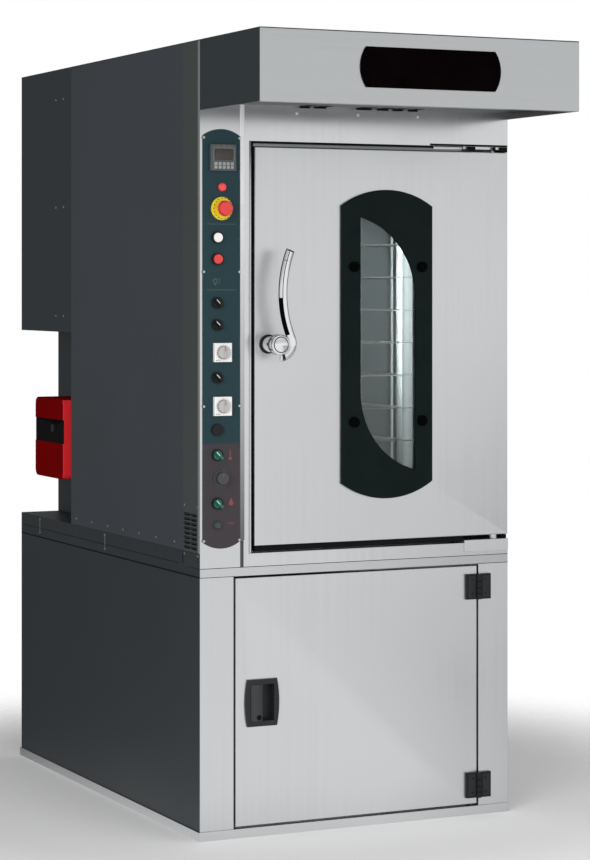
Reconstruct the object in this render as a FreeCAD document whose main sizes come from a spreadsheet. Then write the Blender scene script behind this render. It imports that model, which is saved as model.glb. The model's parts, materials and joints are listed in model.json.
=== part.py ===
import FreeCAD, Part
import math
import os
from types import SimpleNamespace

import Sketcher

# Driving sizes in millimetres
SIZES = {
    # Overall envelope
    "oven_width": 1000.0,
    "base_height": 743.0,
    "oven_height": 1520.0,
    # Sheet metal and clearances
    "skin": 2.0,
    "clad": 3.0,
    "clad_fold": 20.0,
    "wall": 25.0,
    "run_gap": 0.3,
    "pin_gap": 0.05,
    # Plinth and front of the proving base
    "plinth_height": 26.0,
    "plinth_lip": 4.0,
    "stile_left": 104.0,
    "stile_right": 100.0,
    "stile_depth": 58.0,
    "stop_width": 20.0,
    # Tray runners and heater of the proving base
    "runner_clear": 604.0,
    "runner_bar": 15.0,
    "runner_inset": 60.0,
    "runner_pitch": 760.0,
    "ledge_width": 22.0,
    "ledge_thick": 3.0,
    "ledge_first": 90.0,
    "ledge_pitch": 95.0,
    "ledge_over": 30.0,
    "heater_rise": 45.0,
    "heater_flange_width": 110.0,
    "heater_flange_height": 50.0,
    "heater_flange_thick": 6.0,
    "heater_reach": 420.0,
    "heater_bend": 12.0,
    "heater_pitch": 54.0,
    "heater_rod": 4.5,
    # Base door, seal and hinges
    "base_door_gap": 6.0,
    "base_door_thick": 30.0,
    "base_door_round": 2.0,
    "base_seal_gap": 8.0,
    "base_seal_inset": 8.0,
    "base_seal_width": 9.0,
    "hinge_leaf_thick": 8.0,
    "hinge_leaf_reach": 41.0,
    "hinge_height": 75.0,
    "hinge_low": 62.0,
    "hinge_high": 67.0,
    "hinge_pin": 3.0,
    "hinge_relief": 0.5,
    # Base latch
    "latch_from_left": 191.5,
    "latch_rise": 380.0,
    "latch_width": 92.0,
    "latch_tall": 134.0,
    "latch_bulge": 7.0,
    "latch_flange": 6.0,
    "latch_case_width": 82.0,
    "latch_case_tall": 112.0,
    "latch_case_depth": 26.0,
    "latch_floor": 4.0,
    "latch_rim": 4.0,
    "paddle_width": 36.0,
    "paddle_back": 1.0,
    "paddle_edge": 4.0,
    "paddle_crown": 4.0,
    "paddle_pin": 2.2,
    "paddle_pin_inset": 3.2,
    "paddle_pin_reach": 3.5,
    "paddle_side_gap": 2.0,
    # Oven carcass
    "frame_height": 68.0,
    "band_height": 25.0,
    "cladding_depth": 1031.0,
    "rear_box_depth": 469.0,
    "service_width": 122.0,
    "edge_return": 15.0,
    "right_setback": 95.0,
    "louvre_long": 40.0,
    "louvre_tall": 6.0,
    "louvre_pitch": 13.4,
    "louvre_column_gap": 8.0,
    "louvre_rise": 8.0,
    # Front frame and control column
    "column_width": 127.0,
    "post_width": 29.0,
    "post_round": 6.0,
    "rail_height": 38.0,
    "frame_wall": 3.0,
    # Oven door
    "door_gap_side": 13.5,
    "door_gap_foot": 21.0,
    "door_gap_head": 16.0,
    "door_height": 1137.0,
    "door_thick": 58.0,
    "door_round": 3.0,
    "seal_gap": 20.0,
    "seal_inset": 6.0,
    "seal_width": 13.0,
    "seal_right": 39.0,
    # Door pivots
    "pivot_inset": 36.0,
    "pivot_depth": 28.0,
    "pivot_pin": 8.0,
    "pivot_reach": 28.0,
    "pivot_collar": 15.0,
    "pivot_plate": 8.0,
    "pivot_plate_long": 149.0,
    "pivot_apron": 3.0,
    "pivot_apron_drop": 26.0,
    "pivot_setback": 4.0,
    # Door window
    "window_from_left": 422.5,
    "window_foot_margin": 121.0,
    "window_head_margin": 117.0,
    "window_width": 298.0,
    "window_bulge": 47.0,
    "window_proud": 10.0,
    "window_bevel": 3.0,
    "leaf_offset": 3.0,
    "leaf_side_margin": 59.0,
    "leaf_end_margin": 81.0,
    "leaf_arc": 229.0,
    "light_side_margin": 31.0,
    "light_end_margin": 52.0,
    "pane_thick": 4.0,
    "button_reach_x": 111.0,
    "button_reach_z": 225.0,
    "button_radius": 15.0,
    "button_step": 9.0,
    "button_crown": 4.0,
    "button_nose": 12.0,
    # Lever handle
    "hub_from_left": 212.0,
    "hub_rise": 574.0,
    "hub_radius": 23.0,
    "hub_cap_radius": 29.0,
    "hub_length": 88.0,
    "hub_cap_long": 28.0,
    "hub_round": 6.0,
    "spindle_radius": 6.0,
    "spindle_long": 40.0,
    "lever_offset": 74.0,
    "lever_half_wide": 13.0,
    "lever_half_deep": 8.0,
    "crook_shift": 3.0,
    "crook_radius": 38.0,
    "crook_rise": 18.0,
    "sweep_radius": 324.0,
    "lever_top": 268.0,
    # Hood and sign
    "hood_reach": 404.0,
    "hood_height": 200.0,
    "fascia_fold": 25.0,
    "baffle_rise": 20.0,
    "baffle_slot_long": 90.0,
    "baffle_slot_wide": 14.0,
    "baffle_slot_pitch": 120.0,
    "baffle_slot_inset": 70.0,
    "sign_from_left": 521.5,
    "sign_rise": 103.0,
    "sign_width": 405.0,
    "sign_height": 112.0,
    "sign_bulge": 18.0,
    "sign_thick": 4.0,
    # Chamber
    "chamber_from_left": 190.0,
    "chamber_from_right": 54.0,
    "chamber_lift": 39.0,
    "chamber_height": 1095.0,
    "plenum_gap": 29.0,
    "fan_space": 140.0,
    "flange_left": 40.0,
    "flange_right": 26.0,
    "wool_top": 50.0,
    "wool_right": 8.0,
    "diffuser_thick": 3.0,
    "diffuser_slot_wide": 14.0,
    "diffuser_slot_tall": 150.0,
    "diffuser_slot_pitch": 215.0,
    "diffuser_slot_foot": 60.0,
    "diffuser_slot_inset": 60.0,
    "fan_eye": 145.0,
    # Chamber lamp
    "lamp_radius": 28.0,
    "lamp_long": 300.0,
    "lamp_inset": 75.0,
    "lamp_base": 6.0,
    "lamp_flange": 8.0,
    # Fan and motor
    "fan_rise": 710.0,
    "fan_radius": 190.0,
    "fan_width": 88.0,
    "fan_plate": 3.0,
    "fan_ring": 150.0,
    "fan_hub": 35.0,
    "fan_hub_long": 60.0,
    "fan_shaft": 10.0,
    "fan_shaft_long": 55.0,
    "fan_wall_gap": 20.0,
    "blade_inner": 112.0,
    "blade_sweep": 48.0,
    "blade_thick": 4.0,
    "motor_radius": 75.0,
    "motor_long": 220.0,
    # Rack, trays and rack drive
    "tray_wide": 400.0,
    "tray_long": 600.0,
    "tray_thick": 3.0,
    "tray_pitch": 98.0,
    "tray_side_gap": 4.0,
    "rack_bar": 20.0,
    "rack_post_reach": 180.0,
    "rack_foot_gap": 12.0,
    "rack_first": 20.0,
    "rack_ledge_wide": 24.0,
    "rack_ledge_thick": 3.0,
    "rack_ledge_over": 40.0,
    "rack_head": 95.0,
    "drive_shaft": 12.5,
    "drive_collar": 25.0,
    "drive_collar_long": 24.0,
    "drive_entry": 40.0,
    "shaft_hole_gap": 1.0,
    "gear_pedestal": 120.0,
    "gear_wide": 200.0,
    "gear_deep": 150.0,
    "gear_tall": 120.0,
    "gear_motor": 55.0,
    "gear_motor_long": 160.0,
    # Rear housing, heat exchanger and flue
    "rear_box_height": 844.0,
    "niche_width": 130.0,
    "drum_radius": 125.0,
    "drum_wall": 4.0,
    "drum_end_gap": 164.0,
    "riser_radius": 22.0,
    "riser_inset": 110.0,
    "collector_height": 80.0,
    "collector_deep": 200.0,
    "collector_drop": 20.0,
    "flue_from_right": 240.0,
    "flue_radius": 75.0,
    "flue_step": 4.0,
    "flue_wall": 2.0,
    "flue_proud": 25.0,
    "flue_hole_gap": 2.0,
    # Burner
    "burner_from_seam": 217.0,
    "burner_rise": 262.0,
    "burner_wide": 262.0,
    "burner_tall": 258.0,
    "burner_thick": 125.0,
    "burner_round": 22.0,
    "burner_edge": 4.0,
    "burner_band_rise": 24.0,
    "burner_band_tall": 76.0,
    "burner_band_deep": 3.0,
    "blast_radius": 58.0,
    "blast_long": 120.0,
    "blast_hole_gap": 2.0,
    "reset_radius": 14.0,
    "reset_shift": 43.0,
    "reset_lift": 33.0,
    "reset_proud": 8.0,
    "reset_deep": 8.0,
    "reset_well": 14.0,
    # Control panel plate
    "panel_from_left": 65.5,
    "panel_lift": 100.0,
    "panel_width": 115.0,
    "panel_tall": 1149.0,
    "panel_bulge": 19.0,
    "panel_thick": 3.0,
    # Controller, lamps and emergency stop
    "controller_from_left": 67.5,
    "controller_rise": 1087.0,
    "controller_wide": 78.0,
    "controller_tall": 75.0,
    "controller_thick": 12.0,
    "controller_round": 2.0,
    "display_wide": 62.0,
    "display_tall": 24.0,
    "display_deep": 2.0,
    "display_lift": 10.0,
    "pilot_from_left": 67.0,
    "pilot_rise": 1004.0,
    "pilot_low_rise": 48.0,
    "pilot_radius": 12.0,
    "pilot_rim": 4.0,
    "pilot_dome": 7.0,
    "pilot_nose": 8.0,
    "estop_from_left": 65.5,
    "estop_rise": 943.0,
    "estop_disc": 33.0,
    "estop_disc_thick": 5.0,
    "estop_disc_round": 1.5,
    "estop_sleeve": 14.0,
    "estop_sleeve_long": 8.0,
    "estop_stem": 8.0,
    "estop_stem_back": 7.0,
    "estop_head": 22.5,
    "estop_head_front": 19.5,
    "estop_head_thick": 16.0,
    "estop_head_gap": 10.0,
    "estop_round": 7.0,
    # Push buttons and selectors
    "switch_from_left": 51.5,
    "bezel_radius": 17.0,
    "bezel_thick": 6.0,
    "push_bezel_thick": 8.0,
    "push_radius": 13.5,
    "push_proud": 4.0,
    "push_back": 4.5,
    "push_round": 2.0,
    "push_dish": 9.5,
    "push_dish_deep": 0.6,
    "start_rise": 861.0,
    "stop_rise": 800.0,
    "selector_radius": 12.5,
    "selector_back": 1.0,
    "grip_wide": 8.0,
    "grip_long": 31.0,
    "grip_thick": 14.0,
    "grip_turn": 45.0,
    "light_selector_rise": 676.0,
    "steam_selector_rise": 614.0,
    "fan_selector_rise": 465.0,
    "prover_selector_rise": 246.0,
    "humidity_selector_rise": 109.0,
    "buzzer_rise": 317.0,
    "buzzer_thick": 9.0,
    # Timers and thermostat knob
    "timer_from_left": 66.0,
    "bake_timer_rise": 536.0,
    "steam_timer_rise": 384.0,
    "timer_side": 54.0,
    "timer_thick": 12.0,
    "timer_round": 2.0,
    "dial_radius": 17.0,
    "dial_thick": 10.0,
    "dial_stem": 3.0,
    "dial_stem_long": 7.0,
    "dial_round": 1.5,
    "dial_ridge_wide": 5.0,
    "dial_ridge_thick": 5.0,
    "knob_from_left": 62.0,
    "knob_rise": 181.0,
    "knob_skirt": 24.0,
    "knob_skirt_thick": 4.0,
    "knob_grip": 19.0,
    "knob_grip_thick": 18.0,
    "knob_round": 2.5,
    "knob_stem": 4.0,
    "knob_stem_long": 9.0,
}
LEDGES = 6
TRAYS = 10
BLADES = 14
LOUVRES = 8
BAFFLE_SLOTS = 7
DIFFUSER_ROWS = 5
RISERS = 5
# Plain ratios: camber of a fan blade, taper of the knob, share of a dial that its ridge crosses, end arc of a grip
BLADE_CAMBER = 1.2
KNOB_TAPER = 0.92
RIDGE_SHARE = 0.9
GRIP_END = 1.001
# Distance below which two places count as one
TOUCH = 1e-6

doc = FreeCAD.newDocument("bakery_oven")
sheet = doc.addObject("Spreadsheet::Sheet", "dims")
for row, (alias, value) in enumerate(SIZES.items(), 1):
    sheet.set(f"A{row}", alias)
    sheet.set(f"B{row}", str(value))
    sheet.setAlias(f"B{row}", alias)
doc.recompute()


class Size:
    """A size that carries its number and the sheet expression that it comes from."""

    def __init__(self, value, text):
        self.value = float(value)
        self.text = text

    def __add__(self, other):
        other = size(other)
        return Size(self.value + other.value, f"({self.text} + {other.text})")

    def __sub__(self, other):
        other = size(other)
        return Size(self.value - other.value, f"({self.text} - {other.text})")

    def __mul__(self, other):
        other = size(other)
        return Size(self.value * other.value, f"({self.text} * {other.text})")

    def __truediv__(self, other):
        other = size(other)
        return Size(self.value / other.value, f"({self.text} / {other.text})")

    def __neg__(self):
        return Size(-self.value, f"(-1 * {self.text})")

    def __rsub__(self, other):
        return size(other) - self


def size(number):
    """Return a Size for a plain number, or the Size itself."""
    if isinstance(number, Size):
        return number
    return Size(number, repr(float(number)))


d = SimpleNamespace(**{alias: Size(value, f"dims.{alias}") for alias, value in SIZES.items()})
ZERO = size(0)
nodes = {}

# Planes of the whole object
left = -d.oven_width / 2
right = d.oven_width / 2
oven_depth = d.cladding_depth + d.rear_box_depth
front = -oven_depth / 2
rear = oven_depth / 2
base_top = d.base_height
frame_top = base_top + d.frame_height
sill = base_top + d.band_height
rail_top = sill + d.rail_height
door_foot = rail_top + d.door_gap_foot
door_head = door_foot + d.door_height
header = door_head + d.door_gap_head
top = base_top + d.oven_height
roof_under = top - d.clad
hood_foot = top - d.hood_height
hood_front = front - d.hood_reach
mouth = front + d.door_thick + d.seal_gap
seam = front + d.cladding_depth
box_foot = top - d.rear_box_height
post_left = left + d.column_width
post_right = post_left + d.post_width
door_left = post_right + d.door_gap_side
panel_foot = base_top + d.panel_lift


# Builders
def bind(item, **properties):
    """Bind the properties of an object to sheet expressions."""
    for name, amount in properties.items():
        item.setExpression(name, size(amount).text)


def place(item, x, y, z):
    """Bind the position of an object."""
    for axis, amount in zip("xyz", (x, y, z)):
        item.setExpression(f"Placement.Base.{axis}", size(amount).text)


def lean(item, angle):
    """Turn an object to the left about its front-to-back axis by a bound angle in degrees."""
    item.Placement.Rotation = FreeCAD.Rotation(FreeCAD.Vector(0, -1, 0), angle.value)
    item.setExpression("Placement.Rotation.Angle", angle.text)


def block(name, x, y, z):
    """Return a box between the two ends given on each axis."""
    box = doc.addObject("Part::Box", name)
    bind(box, Length=x[1] - x[0], Width=y[1] - y[0], Height=z[1] - z[0])
    place(box, x[0], y[0], z[0])
    return box


TURNS = {
    "x": FreeCAD.Rotation(FreeCAD.Vector(0, 1, 0), 90),
    "y": FreeCAD.Rotation(FreeCAD.Vector(1, 0, 0), -90),
    "z": FreeCAD.Rotation(),
}


def starts_at(axis, centre, start):
    """Return the base point of a round form along an axis from its centre pair."""
    if axis == "x":
        return start, centre[0], centre[1]
    if axis == "y":
        return centre[0], start, centre[1]
    return centre[0], centre[1], start


def rod(name, axis, centre, radius, span):
    """Return a cylinder along an axis; centre holds the two other coordinates."""
    bar = doc.addObject("Part::Cylinder", name)
    bar.Placement.Rotation = TURNS[axis]
    bind(bar, Radius=radius, Height=span[1] - span[0])
    place(bar, *starts_at(axis, centre, span[0]))
    return bar


def taper(name, axis, centre, radii, span):
    """Return a cone between two radii along an axis."""
    cone = doc.addObject("Part::Cone", name)
    cone.Placement.Rotation = TURNS[axis]
    bind(cone, Radius1=radii[0], Radius2=radii[1], Height=span[1] - span[0])
    place(cone, *starts_at(axis, centre, span[0]))
    return cone


def cut(name, base, *tools):
    """Return the base less the tools."""
    for index, tool in enumerate(tools):
        result = doc.addObject("Part::Cut", f"{name}_cut{index}")
        result.Base = base
        result.Tool = tool
        base = result
    return base


def fuse(name, *parts):
    """Return the parts joined into one solid."""
    result = doc.addObject("Part::MultiFuse", f"{name}_fused")
    result.Shapes = list(parts)
    result.Refine = True
    return result


def node(name, *parts):
    """Register a sub-part; several parts become one group of separate solids."""
    if len(parts) == 1:
        item = parts[0]
    else:
        item = doc.addObject("Part::Compound", f"{name}_group")
        item.Links = list(parts)
    item.Label = name
    nodes[name] = item
    return item


def axis_plane(body, role):
    """Return an origin plane or axis of a body by its role."""
    return next(item for item in body.Origin.OriginFeatures if item.Role == role)


def new_sketch(body, name, role, lift=None):
    """Return a sketch attached to an origin plane of the body, lifted along its normal."""
    sketch = body.newObject("Sketcher::SketchObject", name)
    sketch.AttachmentSupport = (axis_plane(body, role), [""])
    sketch.MapMode = "FlatFace"
    if lift is not None:
        sketch.setExpression("AttachmentOffset.Base.z", size(lift).text)
    return sketch


def limit(sketch, kind, geometry, position, amount):
    """Hold one coordinate of a sketch point, measured from the sketch origin."""
    amount = size(amount)
    if abs(amount.value) < 1e-9:
        line = -2 if kind == "DistanceX" else -1
        sketch.addConstraint(Sketcher.Constraint("PointOnObject", geometry, position, line))
        return
    index = sketch.addConstraint(Sketcher.Constraint(kind, -1, 1, geometry, position, amount.value))
    sketch.setExpression(f"Constraints[{index}]", amount.text)


def hold_radius(sketch, geometry, radius):
    """Bind the radius of a circle or arc."""
    index = sketch.addConstraint(Sketcher.Constraint("Radius", geometry, size(radius).value))
    sketch.setExpression(f"Constraints[{index}]", size(radius).text)


def arc_between(start, end, radius, bulge):
    """Return an arc geometry between two points and whether it runs from end to start."""
    a, b = (FreeCAD.Vector(p[0].value, p[1].value, 0) for p in (start, end))
    chord = b - a
    half = chord.Length / 2
    side = FreeCAD.Vector(chord.y, -chord.x, 0).normalize() * bulge
    rise = radius.value - math.sqrt(max(radius.value ** 2 - half ** 2, 0.0))
    middle = (a + b) * 0.5 + side * rise
    arc = Part.Arc(a, middle, b)
    reverse = bulge < 0
    return arc, reverse


def outline(sketch, points, arcs=None):
    """Draw a closed outline; arcs maps a side to its radius and bulge (1 out on the right)."""
    arcs = arcs or {}
    first = sketch.GeometryCount
    ends = []
    for index, start in enumerate(points):
        end = points[(index + 1) % len(points)]
        if index in arcs:
            radius, bulge = arcs[index]
            geometry, reverse = arc_between(start, end, size(radius), bulge)
            ends.append((2, 1) if reverse else (1, 2))
        else:
            geometry = Part.LineSegment(
                FreeCAD.Vector(start[0].value, start[1].value, 0),
                FreeCAD.Vector(end[0].value, end[1].value, 0))
            ends.append((1, 2))
        sketch.addGeometry(geometry, False)
    for index in range(len(points)):
        follow = (index + 1) % len(points)
        sketch.addConstraint(Sketcher.Constraint(
            "Coincident", first + index, ends[index][1], first + follow, ends[follow][0]))
    for index, point in enumerate(points):
        limit(sketch, "DistanceX", first + index, ends[index][0], point[0])
        limit(sketch, "DistanceY", first + index, ends[index][0], point[1])
        if index in arcs:
            hold_radius(sketch, first + index, arcs[index][0])


def circle(sketch, radius):
    """Draw a circle about the sketch origin."""
    index = sketch.addGeometry(Part.Circle(FreeCAD.Vector(), FreeCAD.Vector(0, 0, 1), size(radius).value), False)
    sketch.addConstraint(Sketcher.Constraint("Coincident", index, 3, -1, 1))
    hold_radius(sketch, index, radius)


def pad(body, sketch, length, backward=False):
    """Pad a sketch along its normal, or backward against it."""
    feature = body.newObject("PartDesign::Pad", f"{sketch.Name}_pad")
    feature.Profile = sketch
    bind(feature, Length=length)
    feature.Reversed = backward
    body.Tip = feature
    return feature


def pocket(body, sketch, length, backward=False):
    """Cut a sketch into the body, against its normal unless backward."""
    feature = body.newObject("PartDesign::Pocket", f"{sketch.Name}_pocket")
    feature.Profile = sketch
    bind(feature, Length=length)
    feature.Reversed = backward
    body.Tip = feature
    return feature


def body_at(name, x=ZERO, y=ZERO, z=ZERO):
    """Return an empty body at a bound position."""
    body = doc.addObject("PartDesign::Body", f"{name}_body")
    place(body, x, y, z)
    return body


def prism(name, role, points, length, at=(ZERO, ZERO, ZERO), arcs=None, backward=False):
    """Return a body padded from one closed outline."""
    body = body_at(name, *at)
    sketch = new_sketch(body, f"{name}_outline", role)
    outline(sketch, points, arcs)
    pad(body, sketch, length, backward)
    return body


def edges_where(feature, test):
    """Return the names of the edges of a feature whose middle passes a test."""
    names = []
    for index, edge in enumerate(feature.Shape.Edges, 1):
        if test(edge.CenterOfMass, edge):
            names.append(f"Edge{index}")
    return names


def round_edges(body, feature, radius, test):
    """Round the edges of a feature of a body that pass a test."""
    doc.recompute()
    rounding = body.newObject("PartDesign::Fillet", f"{feature.Name}_round")
    rounding.Base = (feature, edges_where(feature, test))
    bind(rounding, Radius=radius)
    body.Tip = rounding
    return rounding


def bevel_edges(body, feature, width, test):
    """Bevel the edges of a feature of a body that pass a test."""
    doc.recompute()
    bevel = body.newObject("PartDesign::Chamfer", f"{feature.Name}_bevel")
    bevel.Base = (feature, edges_where(feature, test))
    bind(bevel, Size=width)
    body.Tip = bevel
    return bevel


def softened(name, source, radius, test):
    """Return a body that holds a form with the edges that pass a test rounded."""
    body = doc.addObject("PartDesign::Body", f"{name}_soft")
    body.BaseFeature = source
    doc.recompute()
    round_edges(body, body.Group[0], radius, test)
    return body


def meets(number, amount):
    """Tell whether a number equals a size."""
    return abs(number - size(amount).value) < TOUCH


def on_rim(x, y, z):
    """Return a test for the edges of a slab's face at y that run along its outer rim."""
    def test(point, edge):
        at_side = meets(point.x, x[0]) or meets(point.x, x[1])
        at_end = meets(point.z, z[0]) or meets(point.z, z[1])
        return meets(point.y, y) and (at_side or at_end)
    return test


def round_at(y, radius):
    """Return a test for the full circle of one radius on the face at y."""
    def test(point, edge):
        is_circle = isinstance(edge.Curve, Part.Circle) and edge.isClosed()
        return is_circle and meets(point.y, y) and meets(edge.Curve.Radius, radius)
    return test


def bow(half, rise):
    """Return the radius of an arc from half its chord and its rise."""
    return (half * half + rise * rise) / (rise * 2)


def rectangle(x, z):
    """Return the corners of a rectangle between two ends on each axis."""
    return [(x[0], z[0]), (x[1], z[0]), (x[1], z[1]), (x[0], z[1])]


# Proving base: pan, wrap-round shell, stiles and door stops
node("base_pan", block(
    "base_pan",
    (left - d.plinth_lip, right + d.plinth_lip),
    (front - d.plinth_lip, rear + d.plinth_lip),
    (ZERO, d.plinth_height)))
base_wall = base_top - d.plinth_height
shell_front = front + d.skin
node("base_shell", prism(
    "base_shell", "XY_Plane",
    [(left, shell_front), (left + d.wall, shell_front), (left + d.wall, rear - d.wall),
     (right - d.wall, rear - d.wall), (right - d.wall, shell_front), (right, shell_front),
     (right, rear), (left, rear)],
    base_wall, (ZERO, ZERO, d.plinth_height)))
stop_front = front + d.base_door_thick + d.base_seal_gap
stile_rear = front + d.stile_depth
opening_left = left + d.stile_left
opening_right = right - d.stile_right
stop_left = opening_left + d.stop_width
stop_right = opening_right - d.stop_width


def stile(name, edge, opening, stop, inner):
    """Return one front stile with its door stop."""
    return prism(
        name, "XY_Plane",
        [(edge, front), (opening, front), (opening, stop_front), (stop, stop_front),
         (stop, stile_rear), (inner, stile_rear), (inner, shell_front), (edge, shell_front)],
        base_wall, (ZERO, ZERO, d.plinth_height))


node(
    "base_front_frame",
    stile("stile_left_bar", left, opening_left, stop_left, left + d.wall),
    stile("stile_right_bar", right, opening_right, stop_right, right - d.wall),
    block("stop_head", (stop_left, stop_right), (stop_front, stile_rear), (base_top - d.stop_width, base_top)),
    block("stop_foot", (stop_left, stop_right), (stop_front, stile_rear),
          (d.plinth_height, d.plinth_height + d.stop_width)))

# Tray runners of the proving base
runner_parts = []
runner_half = d.runner_clear / 2
runner_start = stile_rear + d.runner_inset
for side, sign in (("left", -1), ("right", 1)):
    reach = sorted((runner_half * sign, (runner_half + d.runner_bar) * sign), key=lambda s: s.value)
    for place_name, start in (("fore", runner_start), ("aft", runner_start + d.runner_pitch)):
        runner_parts.append(block(
            f"runner_{side}_{place_name}", reach, (start, start + d.runner_bar), (d.plinth_height, base_top)))
    shelf = sorted(((runner_half - d.ledge_width) * sign, runner_half * sign), key=lambda s: s.value)
    for index in range(LEDGES):
        foot = d.plinth_height + d.ledge_first + d.ledge_pitch * index
        runner_parts.append(block(
            f"runner_{side}_ledge{index}", shelf,
            (runner_start - d.ledge_over, runner_start + d.runner_pitch + d.runner_bar + d.ledge_over),
            (foot, foot + d.ledge_thick)))
node("tray_runners", *runner_parts)

# Air heater of the proving base: a wall flange with two hairpins
heater_z = d.plinth_height + d.heater_rise
heater_wall = rear - d.wall
heater_face = heater_wall - d.heater_flange_thick
heater_parts = [block(
    "heater_flange", (-d.heater_flange_width / 2, d.heater_flange_width / 2), (heater_face, heater_wall),
    (heater_z - d.heater_flange_height / 2, heater_z + d.heater_flange_height / 2))]
for name, middle in (("one", -d.heater_pitch / 2), ("two", d.heater_pitch / 2)):
    for leg, shift in (("a", -d.heater_bend), ("b", d.heater_bend)):
        heater_parts.append(rod(
            f"heater_{name}_{leg}", "y", (middle + shift, heater_z), d.heater_rod,
            (heater_face - d.heater_reach, heater_face + d.heater_flange_thick / 2)))
    bend = doc.addObject("Part::Torus", f"heater_{name}_bend")
    bend.Placement.Rotation = FreeCAD.Rotation(FreeCAD.Vector(0, 0, 1), 180)
    bend.Angle3 = 180
    bind(bend, Radius1=d.heater_bend, Radius2=d.heater_rod)
    place(bend, middle, heater_face - d.heater_reach, heater_z)
    heater_parts.append(bend)
node("prover_heater", fuse("prover_heater", *heater_parts))

# Base door with its seal
base_door_x = (opening_left + d.base_door_gap, opening_right - d.base_door_gap)
base_door_z = (d.plinth_height + d.base_door_gap, base_top - d.base_door_gap)
base_door_back = front + d.base_door_thick
latch_x = left + d.latch_from_left
latch_z = d.latch_rise
case_half_x = d.latch_case_width / 2
case_half_z = d.latch_case_tall / 2
leaf = block("base_door_slab", base_door_x, (front, base_door_back), base_door_z)
leaf_well = block(
    "base_door_well",
    (latch_x - case_half_x - d.run_gap, latch_x + case_half_x + d.run_gap),
    (front - d.latch_flange, front + d.latch_case_depth + d.run_gap),
    (latch_z - case_half_z - d.run_gap, latch_z + case_half_z + d.run_gap))
node("base_door_leaf", softened(
    "base_door_leaf", cut("base_door_leaf_plain", leaf, leaf_well), d.base_door_round,
    on_rim(base_door_x, front, base_door_z)))


def frame_ring(name, x, y, z, width):
    """Return a rectangular ring of even width."""
    outer = block(f"{name}_outer", x, y, z)
    inner = block(f"{name}_inner", (x[0] + width, x[1] - width), (y[0] - width, y[1] + width),
                  (z[0] + width, z[1] - width))
    return cut(name, outer, inner)


seal_x = (opening_left + d.base_seal_inset, opening_right - d.base_seal_inset)
seal_z = (d.plinth_height + d.base_seal_inset, base_top - d.base_seal_inset)
node("base_door_gasket", frame_ring(
    "base_door_gasket", seal_x, (base_door_back, stop_front - d.run_gap), seal_z, d.base_seal_width))

# Block hinges of the base door
hinge_x = opening_right - d.base_door_gap / 2
hinge_y = front - d.hinge_leaf_thick
knuckle = d.hinge_leaf_thick
leaf_start = knuckle + d.hinge_relief
quarter = d.hinge_height / 4
fixed_leaves = []
moving_leaves = []
for name, middle in (("low", d.plinth_height + d.hinge_low), ("high", base_top - d.hinge_high)):
    foot = middle - d.hinge_height / 2
    head = middle + d.hinge_height / 2
    centre = (hinge_x, hinge_y)
    plate_y = (hinge_y, front)
    fixed = [
        block(f"hinge_{name}_fixed_plate", (hinge_x + leaf_start, hinge_x + d.hinge_leaf_reach), plate_y, (foot, head)),
        rod(f"hinge_{name}_pin", "z", centre, d.hinge_pin, (foot, head))]
    for end, span in (("foot", (foot, foot + quarter)), ("head", (head - quarter, head))):
        fixed.append(rod(f"hinge_{name}_{end}_knuckle", "z", centre, knuckle, span))
        fixed.append(block(f"hinge_{name}_{end}_web", (hinge_x, hinge_x + leaf_start), plate_y, span))
    fixed_leaves.append(fuse(f"hinge_{name}_fixed", *fixed))
    span = (foot + quarter + d.run_gap, head - quarter - d.run_gap)
    moving = fuse(
        f"hinge_{name}_moving",
        block(f"hinge_{name}_moving_plate", (hinge_x - d.hinge_leaf_reach, hinge_x - leaf_start), plate_y, (foot, head)),
        rod(f"hinge_{name}_knuckle", "z", centre, knuckle, span),
        block(f"hinge_{name}_web", (hinge_x - leaf_start, hinge_x), plate_y, span))
    bore = rod(f"hinge_{name}_bore", "z", centre, d.hinge_pin + d.pin_gap, (foot, head))
    moving_leaves.append(cut(f"hinge_{name}_moving", moving, bore))
node("base_hinge_fixed", *fixed_leaves)
node("base_hinge_moving", *moving_leaves)

# Base latch: bulged housing with a recess, and the spring paddle over its left part
latch_half_x = d.latch_width / 2
latch_half_z = d.latch_tall / 2
latch_bow = bow(latch_half_z, d.latch_bulge)
latch = body_at("latch_housing", latch_x, front, latch_z)
sketch = new_sketch(latch, "latch_flange_outline", "XZ_Plane")
outline(sketch, rectangle((-latch_half_x, latch_half_x), (-latch_half_z, latch_half_z)),
        {1: (latch_bow, 1), 3: (latch_bow, 1)})
pad(latch, sketch, d.latch_flange)
sketch = new_sketch(latch, "latch_case_outline", "XZ_Plane")
outline(sketch, rectangle((-case_half_x, case_half_x), (-case_half_z, case_half_z)))
pad(latch, sketch, d.latch_case_depth, backward=True)
sketch = new_sketch(latch, "latch_recess_outline", "XZ_Plane", d.latch_flange)
recess_half_x = case_half_x - d.latch_rim
recess_half_z = case_half_z - d.latch_rim
outline(sketch, rectangle((-recess_half_x, recess_half_x), (-recess_half_z, recess_half_z)))
pocket(latch, sketch, d.latch_flange + d.latch_case_depth - d.latch_floor)
paddle_left = -recess_half_x + d.paddle_side_gap
paddle_axis_x = latch_x + paddle_left + d.paddle_pin_inset
paddle_axis_y = front - (d.paddle_edge - d.paddle_back) / 2
paddle_axis = (paddle_axis_x, paddle_axis_y)
pin_end = recess_half_z + d.paddle_pin_reach
latch_bore = rod("latch_bore", "z", paddle_axis, d.paddle_pin + d.pin_gap,
                 (latch_z - pin_end - d.run_gap, latch_z + pin_end + d.run_gap))
node("latch_housing", cut("latch_housing", latch, latch_bore))
paddle_half = recess_half_z - d.run_gap
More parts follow.
